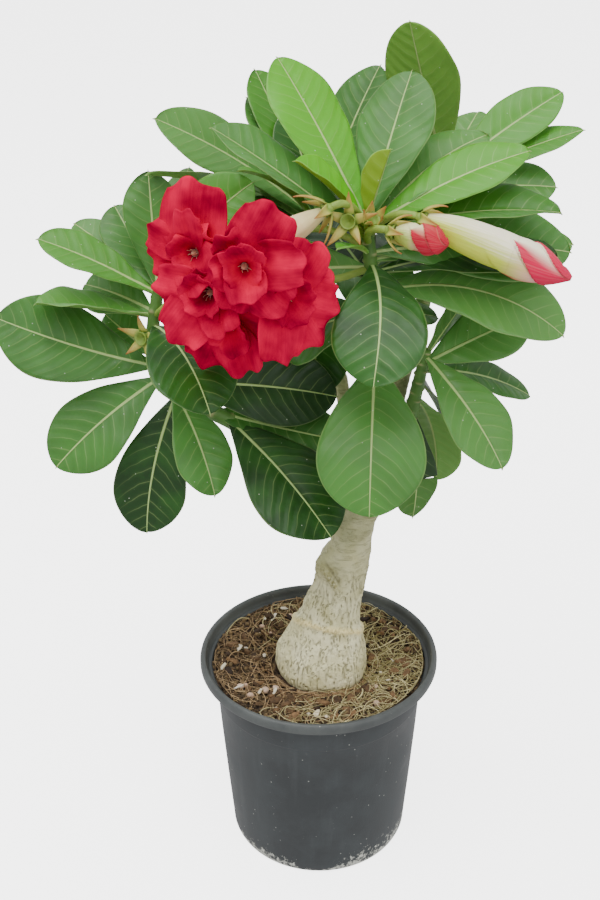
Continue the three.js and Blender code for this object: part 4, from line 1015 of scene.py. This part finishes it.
CALYX_CUP = [
    (0.01, -5.2), (1.9, -5.2), (2.5, -4), (3.4, -2), (4.1, -0.2), (3.8, 0), (3.0, -1.8), (1.8, -3.2),
    (0.01, -3.6),
]
SEPALS = 5
SEPAL_ROWS = 15
SEPAL_COLUMNS = 7
SEPAL_HALF_WIDTH = 2.7
SEPAL_THICKNESS = 0.55


def calyx(at, way, draw, length, spread, curls=(-35, 30)):
    """Five sepals, each a narrow keeled blade with a curled tip, on a cup at the end of a stalk."""
    front = unit(np.array(way, float))
    side = np.array([0, 0, 1.0]) if abs(front[2]) < 0.9 else np.array([1.0, 0, 0])
    right = unit(np.cross(side, front))
    up = np.cross(front, right)
    shells = [turned_shell(at, (front, right, up), CALYX_CUP, 24, "stalk")]
    for k in range(SEPALS):
        angle = 2 * np.pi * (k + 0.25) / SEPALS
        out = right * math.cos(angle) + up * math.sin(angle)
        level = np.cross(front, out)
        reach, curl = length * draw.uniform(0.9, 1.1), draw.uniform(*curls)
        spine = at - front * 2.4 + out * 3.2
        rows, normals, look = [], [], []
        v = np.linspace(-1, 1, SEPAL_COLUMNS)
        for i in range(SEPAL_ROWS):
            u = i / (SEPAL_ROWS - 1)
            lean = math.radians(spread + curl * u * u)
            along_way = front * math.cos(lean) + out * math.sin(lean)
            if i:
                spine = spine + along_way * reach / (SEPAL_ROWS - 1)
            normal = np.cross(along_way, level)
            half = SEPAL_HALF_WIDTH * (1 - u**1.4) ** 1.05 + 0.12
            rows.append(spine + np.outer(half * v, level) + np.outer(0.4 * half * np.abs(v), -normal))
            normals.append(np.repeat(normal[None], len(v), 0))
            look.append(np.stack([0 * v + u, v, 0 * v + u * draw.uniform(0.85, 1.0)], 1))
        thick = np.full((SEPAL_ROWS, SEPAL_COLUMNS), SEPAL_THICKNESS)
        looks = {"stalk": np.array(look)}
        shells.append(thin_sheet(np.array(rows), np.array(normals), thick, looks, upper=0, under=0))
    return shells


def pedicel(start, at, way):
    """A flower's stalk, from a stem to the foot of its calyx."""
    front = unit(np.array(way, float))
    foot = at - front * 4.5
    middle = foot - front * 0.4 * np.linalg.norm(np.array(start) - foot)
    line = [bent(start, middle, foot, s) for s in np.linspace(0, 1, 26)]
    return tube(line, lambda s, angles: 2.0 + 0.12 * np.sin(3 * angles + 20 * s), 16, side=(0, 0.6, 0.8))


LARGE_BUD = {"calyx": (54, -43, 441), "tip": (126, -66, 417), "radius": 9.9, "red": 0.6, "node": 426}
SMALL_BUD = {"calyx": (38, -50, 437), "tip": (64, -62, 434), "radius": 7.0, "red": 0.36, "node": 422}
# Calyxes whose flowers have dropped: stem, height of the stalk's foot on it, place, facing, sepals and spread
OLD_CALYXES = [
    ("left", 356, (-100, -15, 366), (-0.5, -0.8, 0.1), 12, 60),
    ("centre", 424, (14.5, -38, 439), (-0.2, -0.9, 0.2), 14, 65),
    ("centre", 430, (27.5, -38, 441), (0.2, -0.6, 0.7), 9, 15),
]
stalks = {"centre": [], "left": []}
for flower in FLOWERS:
    line = tube_line(flower, 60)
    way = line[-2] - line[-1]
    at = np.array(flower["calyx"], float)
    stem = STEMS[flower["stem"]]
    sepals = calyx(at, way, draw, flower["sepal"], flower["spread"])
    stalks[flower["stem"]] += [*sepals, pedicel(on_stem(stem, flower["node"]), at, way)]
for bud in (LARGE_BUD, SMALL_BUD):
    at = np.array(bud["calyx"], float)
    way = np.array(bud["tip"], float) - at
    sepals = calyx(at, way, draw, 13, 50, (-60, -35))
    stalks["centre"] += [*sepals, pedicel(on_stem(STEMS["centre"], bud["node"]), at, way)]
for shoot, node, at, facing, length, spread in OLD_CALYXES:
    at, way = np.array(at, float), np.array(facing)
    stalks[shoot] += [*calyx(at, way, draw, length, spread), pedicel(on_stem(STEMS[shoot], node), at, way)]
for shoot, shells in stalks.items():
    make_piece("flower_stalks_" + shoot, shells, [calyx_skin], "leaf", "leafy_shoot_" + shoot)

# A closed bud is a furled flower: five petals rolled over one another in a spiral above a downy tube. The
# rolled edges show as twisted steps, pale where they were covered and red where they were in the light, with
# a painted shadow along the low side of each step.
BUD_LOBES = 3
BUD_WIDEST = 0.58
FURL_STEP = 1.5


def bud_shell(bud, start, end, rows, sides):
    """A stretch of a bud, with rolled petals that overlap in twisted steps where the red begins."""
    foot, tip = np.array(bud["calyx"], float), np.array(bud["tip"], float)
    centres = [foot + (tip - foot) * (start + (end - start) * k / rows) for k in range(rows + 1)]

    def rolled(angles, t):
        return (BUD_LOBES * angles / (2 * np.pi) - 3.6 * t) % 1.0

    def radius_at(share, angles):
        t = start + (end - start) * share
        before, after = max(0, 1 - t / BUD_WIDEST), max(0, t - BUD_WIDEST) / 0.44
        body = bud["radius"] * (1 - 0.65 * before**3 - after**2.6)
        twist = 0.1 * np.sin(2 * angles + 7 * t) * eased(t, bud["red"] - 0.02, bud["red"] + 0.08)
        step = FURL_STEP * (rolled(angles, t) - 0.5) * eased(t, bud["red"] - 0.25, bud["red"] + 0.1)
        rib = 0.16 * np.sin(5 * angles + 3 * t) * (1 - t)
        reach = body * (1 + twist) + step * min(1, body / 4) + rib
        return np.maximum(0.5, reach)

    shell = tube(centres, radius_at, sides)
    look = shell["looks"]["stalk"]
    look[:, 0] = start + (end - start) * look[:, 0]
    look[:, 2] = rolled(look[:, 1], look[:, 0])
    return shell


def bud_skin(name, red_from, red_all, green, pale, red):
    """A bud's skin: cream above and green below, then red margins on its rolled petals, wider to the tip, and
    a painted shadow at each step.
    """
    material, tree, shader = finish_of(name, 0.5, IOR=1.42, Specular_IOR_Level=0.3, Subsurface_Weight=0.08)
    stalk = add(tree, "Attribute", attribute_name="stalk").outputs["Vector"]
    along = add(tree, "SeparateXYZ", stalk)
    fibres = add(tree, "Mapping", stalk, named={"Scale": (1.2, 4.0, 0.0)})
    streak = add(tree, "TexNoise", fibres, 2.0, 4.0)
    height = add(tree, "Math", along.outputs["Y"], operation="SINE")
    below = add(tree, "MapRange", height, -0.5, 0.95, 1.0, 0.0)
    streaked = add(tree, "Math", streak, 1.1, below, operation="MULTIPLY_ADD")
    drained = add(tree, "Math", along.outputs["X"], -0.8, streaked, operation="MULTIPLY_ADD")
    greened = add(tree, "MapRange", drained, 0.3, 0.95)
    body = add(tree, "Mix", greened, pale, green, data_type="RGBA")
    blush = add(tree, "MapRange", along.outputs["X"], red_from - 0.05, red_from + 0.2)
    faint = add(tree, "Math", blush, below, operation="MULTIPLY")
    flushed = add(tree, "Mix", faint, body, "#eeb0ac", data_type="RGBA")
    width = add(tree, "MapRange", along.outputs["X"], red_from - 0.04, red_all, 0.001, 1.5)
    from_edge = add(tree, "Math", 1.0, along.outputs["Z"], operation="SUBTRACT")
    share = add(tree, "Math", from_edge, width, operation="DIVIDE")
    margin = add(tree, "MapRange", share, 0.55, 1.0, 1.0, 0.0)
    uneven = add(tree, "MapRange", streak, 0.3, 0.55, 0.88)
    amount = add(tree, "Math", margin, uneven, operation="MULTIPLY")
    coloured = add(tree, "Mix", amount, flushed, red, data_type="RGBA")
    # Painted shadow: a dark line on the low side of each rolled step, where the red begins
    edge_shadow = add(tree, "MapRange", along.outputs["Z"], 0, 0.08, 0.75, 0.0)
    starts = add(tree, "MapRange", along.outputs["X"], red_from - 0.06, red_from + 0.04)
    edge_shadowed = add(tree, "Math", edge_shadow, starts, operation="MULTIPLY")
    colour = add(tree, "Mix", edge_shadowed, coloured, "#6a0a22", data_type="RGBA")
    join_colour(tree, shader, colour, streak, 0.4)
    return material


large_skin = bud_skin("bud_skin_large", 0.6, 0.95, "#c6d24a", "#fbf2d4", "#cc0644")
small_skin = bud_skin("bud_skin_small", 0.36, 0.62, "#a9bd58", "#ece4b0", "#b8002e")
for name, bud, start, end, rows, sides, skin, slot, node in (
    ("large_bud_furled_tube", LARGE_BUD, 0.005, 0.602, 70, 96, large_skin, "bud_tube", "large_bud_tube"),
    ("large_bud_furled_tip", LARGE_BUD, 0.6, 1.0, 60, 96, large_skin, "petal", "large_bud_tip"),
    ("small_bud_furled", SMALL_BUD, 0.015, 1.0, 60, 80, small_skin, "petal", "small_bud"),
):
    make_piece(name, [bud_shell(bud, start, end, rows, sides)], [skin], slot, node)

# The potting mix is loose: dark coir and composted bark, with pine bark chips, coarse coir and straw fibres
# on top, and grains of perlite and gravel. It rises towards the wall and settles a little right against it.
MIX_FOOT = 3.8
MIX_LEVEL = 127
MIX_EDGE_LEVEL = 132.6
MIX_EDGE_RADIUS = 69.4
HOLE_X = 2.7
HOLE_RADIUS = 29.4
MIX_SIDE = ((68, 130), (66.2, 126), (65.4, 118), (56.5, MIX_FOOT), (10, MIX_FOOT))


def mix_height(x, y):
    """The height of the mix's surface, without its crumbs."""
    rise = (MIX_EDGE_LEVEL - MIX_LEVEL) * eased(np.hypot(x, y) / MIX_EDGE_RADIUS, 0.45, 1)
    return MIX_LEVEL + rise + 0.7 * np.sin(x / 5 + 1) * np.sin(y / 6) + 0.5 * np.sin(x / 2.7 - y / 3.3)


MIX_SECTORS = 300
MIX_STEPS = 96
angles = compass(MIX_SECTORS)
hole = HOLE_RADIUS * (1 + 0.022 * np.sin(3 * angles + 4.2) + 0.018 * np.sin(5 * angles - 6.4))
mix_edge = MIX_EDGE_RADIUS + 0.9
rings = []
for k in range(MIX_STEPS + 1):
    share = k / MIX_STEPS
    x = (HOLE_X + hole * np.cos(angles)) * (1 - share) + mix_edge * np.cos(angles) * share
    y = hole * np.sin(angles) * (1 - share) + mix_edge * np.sin(angles) * share
    z = mix_height(x, y)
    for i in range(MIX_SECTORS):
        crumb = noise.fractal(Vector((x[i] / 3.2, y[i] / 3.2, 4.0)), 0.75, 2.1, 5)
        mound = noise.noise(Vector((x[i] / 9, y[i] / 9, 7.5)))
        pit = max(0.0, noise.noise(Vector((x[i] / 6.5, y[i] / 6.5, 21.0))) - 0.05)
        z[i] += 0.9 * crumb + 0.9 * mound - 7 * pit - 0.7 * eased(share, 0.93, 1.0)
    rings.append(np.stack([x, y, z], 1))
for radius, height in MIX_SIDE:
    rings.append(circle(radius, angles, height))
rings.append(circle(hole * 0.4, angles, TRUNK[0][1], HOLE_X))

coir, tree, shader = finish_of("coir_and_bark_mix", 0.92)
place = add(tree, "TexCoord").outputs["Object"]
crumbs = add(tree, "TexNoise", place, per_mm(2.6), 9.0, 0.7)
brown = add(tree, "ValToRGB", crumbs)
ramp = brown.color_ramp
ramp.elements[0].position, ramp.elements[0].color = 0.36, linear("#0d0805")
ramp.elements[1].position, ramp.elements[1].color = 0.70, linear("#8f7850")
middle = ramp.elements.new(0.5)
middle.color = linear("#443222")
cells = add(tree, "TexVoronoi", place, per_mm(2.2))
grain = add(tree, "Math", crumbs, 1.4, cells, operation="MULTIPLY_ADD")
join_colour(tree, shader, brown, grain, 0.9)
make_piece("mix_body", [looped(rings)], [coir], "potting_mix", "potting_mix")


def scattered(draw, inner=31, outer=67):
    """A spot on the mix between the trunk and the pot's wall, with the height of the surface there."""
    radius = math.sqrt(draw.uniform(inner**2, outer**2))
    angle = draw.uniform(0, 2 * math.pi)
    x, y = radius * math.cos(angle), radius * math.sin(angle)
    return np.array([x, y, mix_height(x, y)])


def tumbled(points, draw, tilt=0.5):
    """Points turned to a random heading and tipped at random."""
    for axis, reach in ((0, tilt), (1, tilt), (2, math.pi)):
        angle = draw.uniform(-reach, reach)
        a, b = [k for k in range(3) if k != axis]
        cosine, sine = math.cos(angle), math.sin(angle)
        first, second = points[:, a].copy(), points[:, b].copy()
        points[:, a], points[:, b] = first * cosine - second * sine, first * sine + second * cosine
    return points


def toned(shell, draw):
    """A shell with one random tone for its whole grain."""
    shell["looks"] = {"grain_look": np.full((len(shell["points"]), 3), draw.uniform(0, 1))}
    return shell


def lump(centre, sizes, draw, rows=6, sides=9, jag=0.14):
    """A rough grain: an ellipsoid with its points pushed about."""
    shell = knob((0, 0, 0), sizes, rows, sides)
    shake = 1 + draw.uniform(-jag, jag, (len(shell["points"]), 1))
    shell["points"] = tumbled(shell["points"] * shake, draw, math.pi) + centre
    return toned(shell, draw)


def bark_chip(centre, length, width, thick, draw):
    """A flat flake of pine bark with a broken outline and split, laminated edges."""
    corners = int(draw.integers(6, 10))
    angles = (np.arange(corners) + draw.uniform(-0.3, 0.3, corners)) * 2 * np.pi / corners
    reach = draw.uniform(0.75, 1.05, corners)
    outline = np.stack([length / 2 * reach * np.cos(angles), width / 2 * reach * np.sin(angles)], 1)
    levels = [(-0.5, 0.86), (-0.38, 1.0), (-0.05, 0.97), (0.0, 0.9), (0.06, 0.98), (0.4, 0.94), (0.5, 0.8)]
    rows = [np.hstack([outline * size, np.full((corners, 1), level * thick)]) for level, size in levels]
    shell = toned(capped(rows, [(0, 0, -0.5 * thick), (0, 0, 0.52 * thick)]), draw)
    shell["points"][:, 2] += 0.12 * thick * np.sin(shell["points"][:, 0] * 1.7)
    shell["points"] = tumbled(shell["points"], draw, 0.45) + centre
    return shell


def strand(start, reach, heading, curve, lift, thick, draw, flat=0.0):
    """A fibre that lies on the mix, with its ends tucked in and its middle a little proud."""
    points = []
    for share in np.linspace(0, 1, 12):
        x = start[0] + reach * share * math.cos(heading + curve * share)
        y = start[1] + reach * share * math.sin(heading + curve * share)
        away = max(math.hypot(x, y), 1)
        inside = min(1, 68.5 / away) * max(1, 31.5 / away)
        x, y = x * inside, y * inside
        points.append((x, y, mix_height(x, y) + 0.5 + lift * math.sin(math.pi * share)))

    def reach_at(share, angles):
        return thick * (1 - 0.5 * share) * (1 - flat * np.cos(angles) ** 2)

    return toned(tube(points, reach_at, 8 if flat else 5, side=(0, 0, 1)), draw)


def grain_skin(name, roughness, first, second, size, depth, dark):
    """A grain's surface, one of a range of colours from grain to grain and a little mottled."""
    material, tree, shader = finish_of(name, roughness)
    look = add(tree, "Attribute", attribute_name="grain_look").outputs["Vector"]
    tone = add(tree, "SeparateXYZ", look)
    place = add(tree, "TexCoord").outputs["Object"]
    mottle = add(tree, "TexNoise", place, per_mm(size), 6.0, 0.65)
    own = add(tree, "Mix", tone.outputs["X"], first, second, data_type="RGBA")
    share = add(tree, "MapRange", mottle, 0.35, 0.65, 0.6, 0.0)
    colour = add(tree, "Mix", share, own, dark, data_type="RGBA")
    join_colour(tree, shader, colour, mottle, depth)
    return material


# Crumbs of coir and bark, pine bark chips, coarse fibres, and the pale grains among them
crumb_skin = grain_skin("coir_crumb", 0.93, "#1e140c", "#9c8259", 0.9, 0.3, "#0c0805")
chip_skin = grain_skin("pine_bark_chip", 0.85, "#24150c", "#93704a", 2.0, 0.4, "#120a06")
straw_skin = grain_skin("dry_straw", 0.7, "#94884c", "#fff2bc", 1.5, 0.1, "#7a6c3e")
coir_hair_skin = grain_skin("coir_hair", 0.85, "#54391f", "#dcbb8c", 1.5, 0.1, "#3c2818")
root_skin = grain_skin("fine_root", 0.75, "#a07a50", "#e2c598", 1.5, 0.1, "#8a6640")
perlite_skin = grain_skin("perlite_grain", 0.9, "#e6d9bb", "#faf4e4", 0.7, 0.25, "#b8a888")
gravel_skin = grain_skin("river_gravel", 0.6, "#c09c82", "#ecd0b8", 1.6, 0.08, "#957860")
CRUMBS, CHIPS, FLAKES, PERLITE_GRAINS, STONES = 1500, 125, 16, 16, 11
STRAWS, FLAT_STRAWS, COIR_HAIRS, FINE_ROOTS = 430, 70, 300, 70
MIX_SEED = 5
draw = np.random.default_rng(MIX_SEED)
crumbs = []
for _ in range(CRUMBS):
    size = draw.uniform(0.7, 2.0)
    spot = scattered(draw, 30.5, 69) + (0, 0, draw.uniform(-0.2, 0.9))
    sizes = (size, size * draw.uniform(0.5, 0.9), size * draw.uniform(0.4, 0.8))
    crumbs.append(lump(spot, sizes, draw, 4, 6, 0.22))
make_piece("mix_crumbs", crumbs, [crumb_skin], "potting_mix")
chips = []
for _ in range(CHIPS):
    length = draw.uniform(3, 12)
    spot = scattered(draw, 33, 63) + (0, 0, draw.uniform(0.2, 2.2))
    chips.append(bark_chip(spot, length, length * draw.uniform(0.4, 0.7), draw.uniform(1.0, 2.4), draw))
make_piece("mix_bark_chips", chips, [chip_skin], "potting_mix")


def bundle(count, reach, thick, side, flat=0.0):
    """A number of strands of one kind, gathered on the right of the trunk for side 1, on the left for -1."""
    made = []
    for _ in range(count):
        start = scattered(draw, 32, 68)
        if (start[0] + 0.4 * start[1]) * side < draw.uniform(-35, 20):
            start[0] = -start[0]
        heading, curve = draw.uniform(0, 2 * math.pi), draw.normal(0, 1.2)
        width, long, lift = draw.uniform(*thick), draw.uniform(*reach), draw.uniform(0.3, 2.8)
        made.append(strand(start, long, heading, curve, lift, width, draw, flat))
    return made


fibres = bundle(STRAWS, (10, 36), (0.12, 0.34), 1)
fibres += bundle(FLAT_STRAWS, (10, 30), (0.3, 0.6), 1, 0.75)
make_piece("mix_straw", fibres, [straw_skin], "potting_mix")
make_piece("mix_coir_hairs", bundle(COIR_HAIRS, (8, 32), (0.1, 0.36), -1), [coir_hair_skin], "potting_mix")
roots = []
for _ in range(FINE_ROOTS):
    angle = draw.uniform(-2.9, -0.4)
    start = (3 + 31.5 * math.cos(angle), 31.5 * math.sin(angle))
    heading = angle + draw.choice([-1, 1]) * draw.uniform(0.9, 1.7)
    roots.append(strand(start, draw.uniform(10, 30), heading, 0.5, draw.uniform(0.5, 2.5), 0.2, draw))
make_piece("mix_fine_roots", roots, [root_skin], "potting_mix")
flakes = []
for _ in range(FLAKES):
    spot = scattered(draw, 40, 64) + (0, 0, draw.uniform(1.2, 2.2))
    if draw.uniform(0, 1) < 0.7:
        spot[0] = -abs(spot[0])
    length = draw.uniform(4, 10)
    flakes.append(bark_chip(spot, length, length * draw.uniform(0.25, 0.45), draw.uniform(0.5, 1.1), draw))
make_piece("mix_bleached_flakes", flakes, [perlite_skin], "potting_mix")
perlite = [
    lump(scattered(draw, 32, 63) + (0, 0, 0.9), draw.uniform(0.6, 1.7, 3), draw)
    for _ in range(PERLITE_GRAINS)
]
make_piece("mix_perlite", perlite, [perlite_skin], "potting_mix")
stones = [
    lump(scattered(draw, 32, 62) + (0, 0, 1.0), draw.uniform(1.3, 2.6, 3), draw, 8, 12, 0.04)
    for _ in range(STONES)
]
make_piece("mix_gravel", stones, [gravel_skin], "potting_mix")

# The room: a plain pale floor without a seam, and a broad soft light from above and all round
bpy.ops.mesh.primitive_plane_add(size=24)
floor = bpy.context.object
floor.name = "floor"
floor.visible_diffuse = False
floor.visible_glossy = False
paper, tree, shader = finish_of(
    "white_paper_floor", 0.85, Emission_Color=linear("#ffffff"), Emission_Strength=3.4,
)
place = add(tree, "TexCoord").outputs["Object"]
cloud = add(tree, "TexNoise", place, 9.0, 3.0)
tint = add(tree, "Mix", cloud, "#eeeeee", "#f6f6f5", data_type="RGBA")
join_colour(tree, shader, tint)
floor.data.materials.append(paper)


def area_light(name, location, target, size, power):
    """A large soft square light at a location, turned to a target."""
    light = bpy.data.lights.new(name, "AREA")
    light.size, light.energy = size, power
    lamp = bpy.data.objects.new(name, light)
    lamp.location = location
    lamp.rotation_euler = (Vector(target) - Vector(location)).to_track_quat("-Z", "Y").to_euler()
    bpy.context.scene.collection.objects.link(lamp)


area_light("sky_panel", (-0.5, -0.5, 2.6), (0, 0, 0.25), 2.4, 72)
area_light("front_fill", (1.4, -2.0, 1.2), (0, 0, 0.3), 1.8, 16)
world = bpy.data.worlds.new("studio")
world.use_nodes = True
background = world.node_tree.nodes["Background"]
background.inputs["Color"].default_value = (1.0, 1.0, 1.0, 1.0)
background.inputs["Strength"].default_value = 0.9
bpy.context.scene.world = world

# The camera looks a little down on the plant from the front, as the photograph does
CAMERA_PLACE = (-0.011, -0.640, 0.619)
CAMERA_DOWN = 27.4
CAMERA_ROLL = -0.5
lens = bpy.data.cameras.new("camera")
lens.lens, lens.sensor_width, lens.clip_start = 48, 36, 0.01
camera = bpy.data.objects.new("camera", lens)
bpy.context.scene.collection.objects.link(camera)
pitch = Matrix.Rotation(math.radians(90 - CAMERA_DOWN), 4, "X")
roll = Matrix.Rotation(math.radians(CAMERA_ROLL), 4, "Z")
camera.matrix_world = Matrix.Translation(CAMERA_PLACE) @ pitch @ roll
bpy.context.scene.camera = camera
